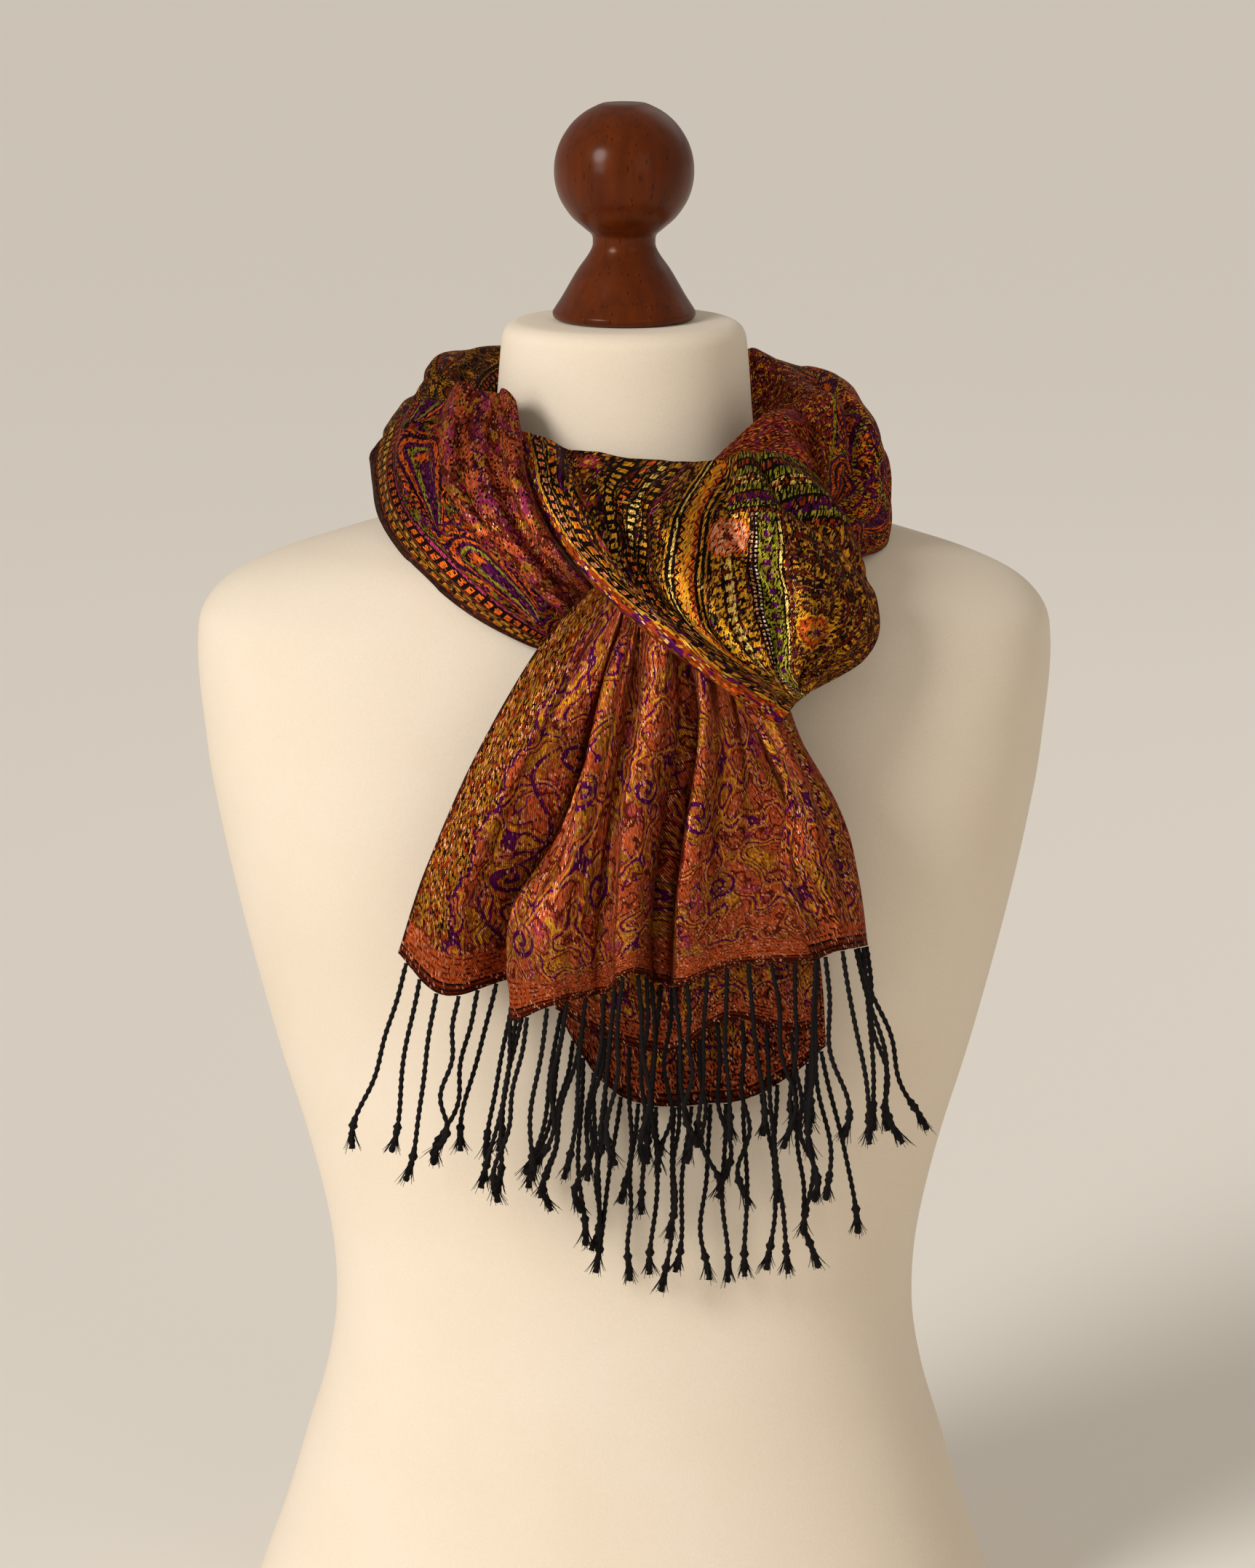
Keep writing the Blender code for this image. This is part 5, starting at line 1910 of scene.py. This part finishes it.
@dataclass(frozen=True)
class DressForm:
    """The limbless form and its turned cap, finer than their solids and on the same sections."""

    columns: int = 160
    between: int = 5        # rows for each section
    cap_sides: int = 96
    cap_between: int = 5

    def build(self) -> None:
        """Makes the form and the cap."""
        self._torso(CottonJersey().make())
        self._cap(StainedBeech().make())

    def _torso(self, material: bpy.types.Material) -> None:
        """Makes the torso from rings through the smoothed sections.

        At angle a of a ring x is half width * cos(a)^(2/p) and y is depth * sin(a)^(2/p), each
        with the sign of its cosine or sine, where p is the ring's squareness.

        Args:
            material: Its jersey.
        """
        at = np.linspace(0, 1, (len(FORM_RINGS) - 1) * self.between + 1)
        heights, half, front, back, power = smooth_rows(FORM_RINGS, at).T
        angle = np.arange(self.columns) / self.columns * TWO_PI
        cosine, sine = np.cos(angle), np.sin(angle)
        depth = np.where(sine[None] < 0, front[:, None], back[:, None])
        sharp = 2 / power[:, None]
        x = half[:, None] * np.sign(cosine) * np.abs(cosine) ** sharp
        y = depth * np.sign(sine) * np.abs(sine) ** sharp
        z = np.repeat(heights[:, None], self.columns, axis=1)
        faces = grid_faces(len(at), self.columns, closed=True).tolist()
        faces.append(list(range(self.columns))[::-1])
        last = (len(at) - 1) * self.columns
        faces.append(list(range(last, last + self.columns)))
        torso = mesh_object("form_jersey", np.stack([x, y, z], axis=-1), faces, material)
        stand_in(torso, "form_torso")

    def _cap(self, material: bpy.types.Material) -> None:
        """Makes the cap of this wood, as a smoothed profile that a Screw modifier turns."""
        at = np.linspace(0, 1, (len(CAP_PROFILE) - 1) * self.cap_between + 1)
        profile = smooth_rows(CAP_PROFILE, at)[::-1]
        outline = [(0.0, 0.0, profile[0, 0])]
        outline += [(radius, 0.0, height) for height, radius in profile]
        outline += [(0.0, 0.0, 0.0)]
        mesh = bpy.data.meshes.new("turned_cap")
        edges = [(index, index + 1) for index in range(len(outline) - 1)]
        lifted = (np.array(outline) + (0.0, 0.0, CAP_SEAT)) * MM
        mesh.from_pydata(lifted.tolist(), edges, [])
        mesh.materials.append(material)
        cap = in_scene("turned_cap", mesh)
        screw = cap.modifiers.new("turning", "SCREW")
        screw.steps = self.cap_sides
        screw.render_steps = self.cap_sides
        screw.use_merge_vertices = True
        screw.merge_threshold = 0.02 * MM
        screw.use_smooth_shade = True
        stand_in(cap, "form_cap")


class Lamp(NamedTuple):
    """A soft square lamp: where it stands, its side, its watts and its colour."""

    name: str
    at: tuple[float, float, float]
    size: float
    power: float
    colour: tuple[float, float, float]


@dataclass(frozen=True)
class Studio:
    """The plain pale floor, the soft lights and the camera at the photograph's angle.

    Attributes:
        floor_side: Side of the floor, in metres.
        floor_level: Its height in millimetres, just under the form.
        lens: The camera's focal length.
        camera_at: Where it stands, in metres.
        camera_pitch: How far up from straight down it looks, in degrees.
        aim: What the lamps point at.
        lamps: The lamps.
        background: The strength of the light from all round.
    """

    floor_side: float = 30.0
    floor_level: float = -1.0
    lens: float = 141.7
    camera_at: tuple[float, float, float] = (0.0015, -2.7388, 0.9761)
    camera_pitch: float = 78.0
    aim: tuple[float, float, float] = (0.0, 0.0, 0.45)
    lamps: tuple[Lamp, ...] = (
        Lamp("key", (-1.9, -2.2, 1.1), 0.8, 11.5, (1.0, 0.98, 0.95)),
        Lamp("fill", (1.6, -2.6, 1.5), 1.6, 6.0, (1.0, 0.96, 0.9)),
        Lamp("rim", (1.2, 1.9, 2.1), 1.6, 4.0, (1.0, 0.98, 0.95)),
    )
    background: float = 0.48

    def build(self) -> None:
        """Makes the floor, the lights, the background and the camera."""
        self._floor()
        for lamp in self.lamps:
            self._light(lamp)
        self._sun()
        world = bpy.data.worlds.new("studio")
        world.use_nodes = True
        background = world.node_tree.nodes["Background"]
        background.inputs["Color"].default_value = linear("#e6dfd3")
        background.inputs["Strength"].default_value = self.background
        bpy.context.scene.world = world
        bpy.context.scene.view_settings.view_transform = "Standard"
        camera = in_scene("camera", bpy.data.cameras.new("camera"))
        camera.data.lens = self.lens
        camera.location = self.camera_at
        camera.rotation_euler = (math.radians(self.camera_pitch), 0.0, 0.0)
        bpy.context.scene.camera = camera

    def _floor(self) -> None:
        """Makes a matte painted floor that reaches out of every view, pale as in the photo."""
        material, tree, shader = new_material("pale floor")
        noise = add_node(tree, "ShaderNodeTexNoise", {"Scale": 0.7, "Detail": 1.0})
        tint = add_node(
            tree, "ShaderNodeMix",
            {0: noise.outputs[0], 6: Dye.WALL.rgba, 7: linear("#f6efe5")}, data_type="RGBA",
        )
        tree.links.new(tint.outputs[2], shader.inputs["Base Color"])
        set_gloss(shader, {"Roughness": 0.95})
        half = self.floor_side / 2 / MM
        corners = [
            (x, y, self.floor_level)
            for x, y in ((-half, -half), (half, -half), (half, half), (-half, half))
        ]
        mesh_object("floor", np.array(corners), [(0, 1, 2, 3)], material)

    def _sun(self) -> None:
        """Makes a wide soft sun from the upper left, even over the shawl and the floor."""
        light = bpy.data.lights.new("sky", "SUN")
        light.angle = math.radians(20.0)
        light.energy = 1.8
        light.color = (1.0, 0.99, 0.97)
        in_scene("sky", light).rotation_euler = (math.radians(63.0), 0.0, math.radians(-45.0))

    def _light(self, lamp: Lamp) -> None:
        """Makes a lamp, aimed at the shawl.

        Args:
            lamp: Which one.
        """
        light = bpy.data.lights.new(lamp.name, "AREA")
        light.size = lamp.size
        light.energy = lamp.power
        light.color = lamp.colour
        made = in_scene(lamp.name, light)
        made.location = lamp.at
        made.rotation_mode = "QUATERNION"
        way = np.array(self.aim) - np.array(lamp.at)
        made.rotation_quaternion = Vector(way).to_track_quat("-Z", "Y")


LOOP_MARKS = (
    LoopMark(-8, -0.06, -0.05, -0.05, -0.07, -0.12, -0.30),
    LoopMark(13, 0.10, 0.055, 0.05, 0.07, 0.12, 0.30),
    LoopMark(26, 0.22, 0.12, 0.09, 0.12, 0.19, 0.42),
    LoopMark(48, 0.40, 0.28, 0.21, 0.20, 0.26, 0.50),
    LoopMark(76, 0.55, 0.44, 0.36, 0.32, 0.33, 0.56),
    LoopMark(93, 0.64, 0.55, 0.48, 0.43, 0.43, 0.60),
    LoopMark(110, 0.71, 0.64, 0.58, 0.55, 0.55, 0.66),
    LoopMark(124, 0.77, 0.71, 0.67, 0.66, 0.67, 0.76),
    LoopMark(172, 1.02, 1.02, 1.02, 1.02, 1.02, 1.02),
)

FRONT_TAIL_WEAVE = TailWeave(
    "silk, front tail", border=24, plain=17,
    scrolls=(
        Scroll(44, 104, 8), Scroll(52, 78, 7), Scroll(38, 50, 6.5),
        Scroll(84, 34, 7), Scroll(118, 58, 7), Scroll(150, 96, 6.5),
        Scroll(176, 46, 8), Scroll(205, 92, 9), Scroll(222, 58, 7.5),
        Scroll(98, 88, 6),
    ),
)
# The side and back tails carry extra dark floats: painted shade that dims them.
SIDE_TAIL_WEAVE = TailWeave(
    "silk, side tail", plain=10, dark=0.2,
    scrolls=(Scroll(24, 60, 6), Scroll(50, 34, 6)),
)
BACK_TAIL_WEAVE = TailWeave(
    "silk, back tail", plain=16, dark=0.3,
    scrolls=(Scroll(30, 60, 7), Scroll(90, 50, 7)),
)
BACK_FOLD_WEAVE = TailWeave(
    "silk, back fold", plain=14, dark=0.2,
    scrolls=(Scroll(40, 60, 7), Scroll(86, 40, 6)),
)


def fan(top: float, bottom: float, height: float, width: float, down_to: float = 1.0) -> Crease:
    """A crease that runs down a tail from the knot.

    Args:
        top: Its place across at the knot, as a share.
        bottom: Its place across at its lower end.
        height: How far it stands out, in millimetres, or below 0 how deep it is.
        width: Its half width in millimetres.
        down_to: How far down the tail it runs, as a share.

    Returns:
        The crease.
    """
    return Crease(((top, 0.0), ((top + bottom) / 2, 0.45 * down_to), (bottom, down_to)), height, width)


STRETCHES = (
    ArchedStretch(
        "shawl_back", (122, 290), (96, 230), BackWeave(),
        creases=(
            Crease(((0.25, 0.02), (0.3, 0.3), (0.22, 0.6)), -2, 4),
            Crease(((0.45, 0.1), (0.5, 0.45), (0.42, 0.95)), -2.2, 3.5),
            Crease(((0.62, 0), (0.66, 0.35), (0.6, 0.62)), 1.6, 5),
            Crease(((0.75, 0.4), (0.72, 0.7), (0.8, 1)), -2, 4),
            Crease(((0.86, 0.05), (0.9, 0.3), (0.84, 0.5)), -1.6, 3.5),
        ),
        amount=0.6, from_far=True, sections=BACK_WRAP, folds=BACK_WRAP_FOLDS,
    ),
    ArchedStretch(
        "shawl_left", (104, 155), (120, 130), LeftWeave(),
        creases=(
            Crease(((0.30, 0), (0.40, 0.4), (0.54, 0.85)), -5, 3.8),
            Crease(((0.15, 0.05), (0.25, 0.5), (0.38, 0.95)), -4.4, 3.4),
            Crease(((0.22, 0), (0.32, 0.45), (0.46, 0.9)), 2.6, 3.2),
            Crease(((0.04, 0.1), (0.14, 0.5), (0.28, 0.95)), 2, 3.4),
            Crease(((0.56, 0.08), (0.64, 0.45), (0.70, 0.8)), -4, 3.8),
            Crease(((0.46, 0), (0.53, 0.35), (0.62, 0.7)), 2.8, 3.4),
            Crease(((0.74, 0.15), (0.79, 0.5), (0.82, 0.9)), 2, 4.4),
            Crease(((0.67, 0.35), (0.74, 0.6), (0.76, 0.95)), -2.6, 2.6),
        ),
        amount=0.4, from_far=True, sections=LEFT_WRAP, folds=LEFT_WRAP_FOLDS,
        roundness=0.6,
    ),
    ArchedStretch(
        "shawl_right", (92, 170), (90, 130), RightWeave(),
        creases=(
            Crease(((0.28, 0), (0.34, 0.5), (0.30, 0.9)), -4.4, 3.4),
            Crease(((0.42, 0.1), (0.42, 0.4), (0.46, 0.8)), 2.8, 3.4),
            Crease(((0.56, 0), (0.54, 0.4), (0.60, 0.9)), -3.8, 3.2),
            Crease(((0.68, 0.2), (0.72, 0.6), (0.70, 1)), 2.4, 3.6),
            Crease(((0.82, 0.1), (0.84, 0.5), (0.80, 1)), -3, 3.6),
        ),
        amount=0.4, sections=RIGHT_WRAP, folds=RIGHT_WRAP_FOLDS, roundness=0.9,
        tucks=(
            Tuck(Edge.INNER, Point(-13, 0, -11), 17),
            Tuck(Edge.FRONT, Point(-7, -15, -4), 17),
        ),
    ),
    ArchedStretch(
        "shawl_right_fold", (36, 78), (50, 84), FoldWeave(),
        creases=(Crease(((0.3, 0.1), (0.34, 0.5), (0.42, 0.9)), -1, 1.8),),
        amount=0.2, rests_on=("shawl_right_cloth",),
        sections=RIGHT_FOLD, folds=RIGHT_FOLD_FOLDS, roundness=0.2,
    ),
    LoopStretch(
        "shawl_loop", (172, 118), (170, 140), LoopWeave(),
        creases=(
            Crease(((0.05, 0.05), (0.03, 0.4), (0.04, 0.7), (0.08, 0.96)), 2.4, 4),
            Crease(((0.13, 0.1), (0.09, 0.4), (0.11, 0.7), (0.2, 0.94)), -3, 2.8),
            Crease(((0.25, 0.02), (0.19, 0.3), (0.18, 0.6), (0.24, 0.86)), -4, 3.8),
            Crease(((0.32, 0), (0.24, 0.35), (0.24, 0.7)), 2.2, 3),
            Crease(((0.38, 0.08), (0.31, 0.4), (0.30, 0.8)), -3.4, 3.4),
            Crease(((0.60, 0.02), (0.58, 0.3), (0.62, 0.6), (0.56, 0.95)), -3.6, 3.4),
            Crease(((0.68, 0.04), (0.66, 0.3), (0.70, 0.6)), 2.2, 4),
            Crease(((0.72, 0), (0.74, 0.14), (0.86, 0.25), (0.99, 0.32)), -5.4, 4.2),
            Crease(((0.76, 0.04), (0.88, 0.14), (0.99, 0.18)), 3.2, 5),
            Crease(((0.45, 0.45), (0.43, 0.75), (0.46, 0.97)), -3.2, 2.8),
            Crease(((0.8, 0.45), (0.77, 0.75), (0.70, 0.97)), -4, 3.4),
            Crease(((0.9, 0.4), (0.87, 0.7), (0.82, 0.95)), 2.4, 3.8),
        ),
        amount=0.35, rests_on=("tail_front_cloth", "shawl_left_cloth"), roll=2.2,
        lines=LOOP,
    ),
    HungStretch(
        "tail_front", (280, 166), (250, 140), FRONT_TAIL_WEAVE,
        creases=(
            fan(0.04, 0.06, 2, 4, 0.9), fan(0.10, 0.115, -2.6, 4.2, 0.85),
            fan(0.15, 0.165, 2.6, 5), fan(0.20, 0.215, -9, 6.4),
            fan(0.265, 0.26, 2.2, 3.4, 0.9), fan(0.30, 0.30, -2.4, 2.4, 0.75),
            fan(0.345, 0.35, 4.6, 6), fan(0.39, 0.395, 1.4, 1.2), fan(0.43, 0.44, -3.4, 2.8),
            fan(0.505, 0.51, 5.2, 7), fan(0.62, 0.625, -9, 6.4),
            fan(0.72, 0.72, 3, 7), fan(0.78, 0.80, -2.2, 5.4, 0.75),
            fan(0.86, 0.85, -2, 3.6, 0.55), fan(0.90, 0.91, 2.2, 5),
        ),
        amount=0.35, held="gathered", rests_on=("shawl_loop_cloth",), from_hem=True,
        shown=0.75, lines=FRONT_TAIL + FRONT_TAIL_TUCK,
    ),
    HungStretch(
        "tail_side", (76, 124), (96, 110), SIDE_TAIL_WEAVE,
        creases=(
            fan(0.06, 0.05, 2.2, 3), fan(0.26, 0.24, -3.4, 3.2), fan(0.45, 0.47, 2, 3.2),
            fan(0.64, 0.67, -2.8, 3), fan(0.85, 0.84, 1.4, 2.6),
        ),
        amount=0.3, held="gathered", rests_on=("shawl_loop_cloth",), from_hem=True,
        lines=SIDE_TAIL_TUCK + SIDE_TAIL,
    ),
    HungStretch(
        "tail_back", (112, 160), (110, 120), BACK_TAIL_WEAVE,
        creases=(
            fan(0.22, 0.18, -3, 5), fan(0.40, 0.42, 1.2, 6), fan(0.58, 0.60, -2.6, 4.6),
            fan(0.84, 0.86, -2.8, 5.4),
        ),
        amount=0.3, held="gathered", from_hem=True, lines=BACK_TAIL,
    ),
    HungStretch(
        "tail_back_fold", (110, 135), (110, 110), BACK_FOLD_WEAVE,
        creases=(
            fan(0.14, 0.12, 1.8, 4.4), fan(0.33, 0.30, -1.2, 3.6), fan(0.52, 0.54, 2.6, 5.2),
            fan(0.72, 0.74, -1.2, 3.8), fan(0.90, 0.92, 2, 4.4),
        ),
        amount=0.3, held="gathered", rests_on=("tail_back_cloth",), from_hem=True,
        lines=BACK_FOLD,
    ),
)

FRINGES = {
    "tail_front": FringeStrands("fringe_front", FRONT_FRINGE),
    "tail_side": FringeStrands("fringe_side", SIDE_FRINGE),
    "tail_back": FringeStrands("fringe_back", BACK_FRINGE),
    "tail_back_fold": FringeStrands("fringe_back_fold", BACK_FOLD_FRINGE),
}


def main() -> None:
    """Builds the studio, the form, the cloth and the fringe, in that order."""
    logging.basicConfig(level=logging.INFO, format="%(name)s: %(message)s")
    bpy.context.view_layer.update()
    Studio().build()
    DressForm().build()
    fringe_silk = FringeSilk().make()
    for stretch in STRETCHES:
        cloth = stretch.build()
        LOG.info("%s: %d points", cloth.name, len(cloth.data.vertices))
        if stretch.node in FRINGES:
            strands = FRINGES[stretch.node].build(stretch.points()[0][-2:], fringe_silk)
            LOG.info("%s: %d points", strands.name, len(strands.data.vertices))


if __name__ == "__main__":
    main()
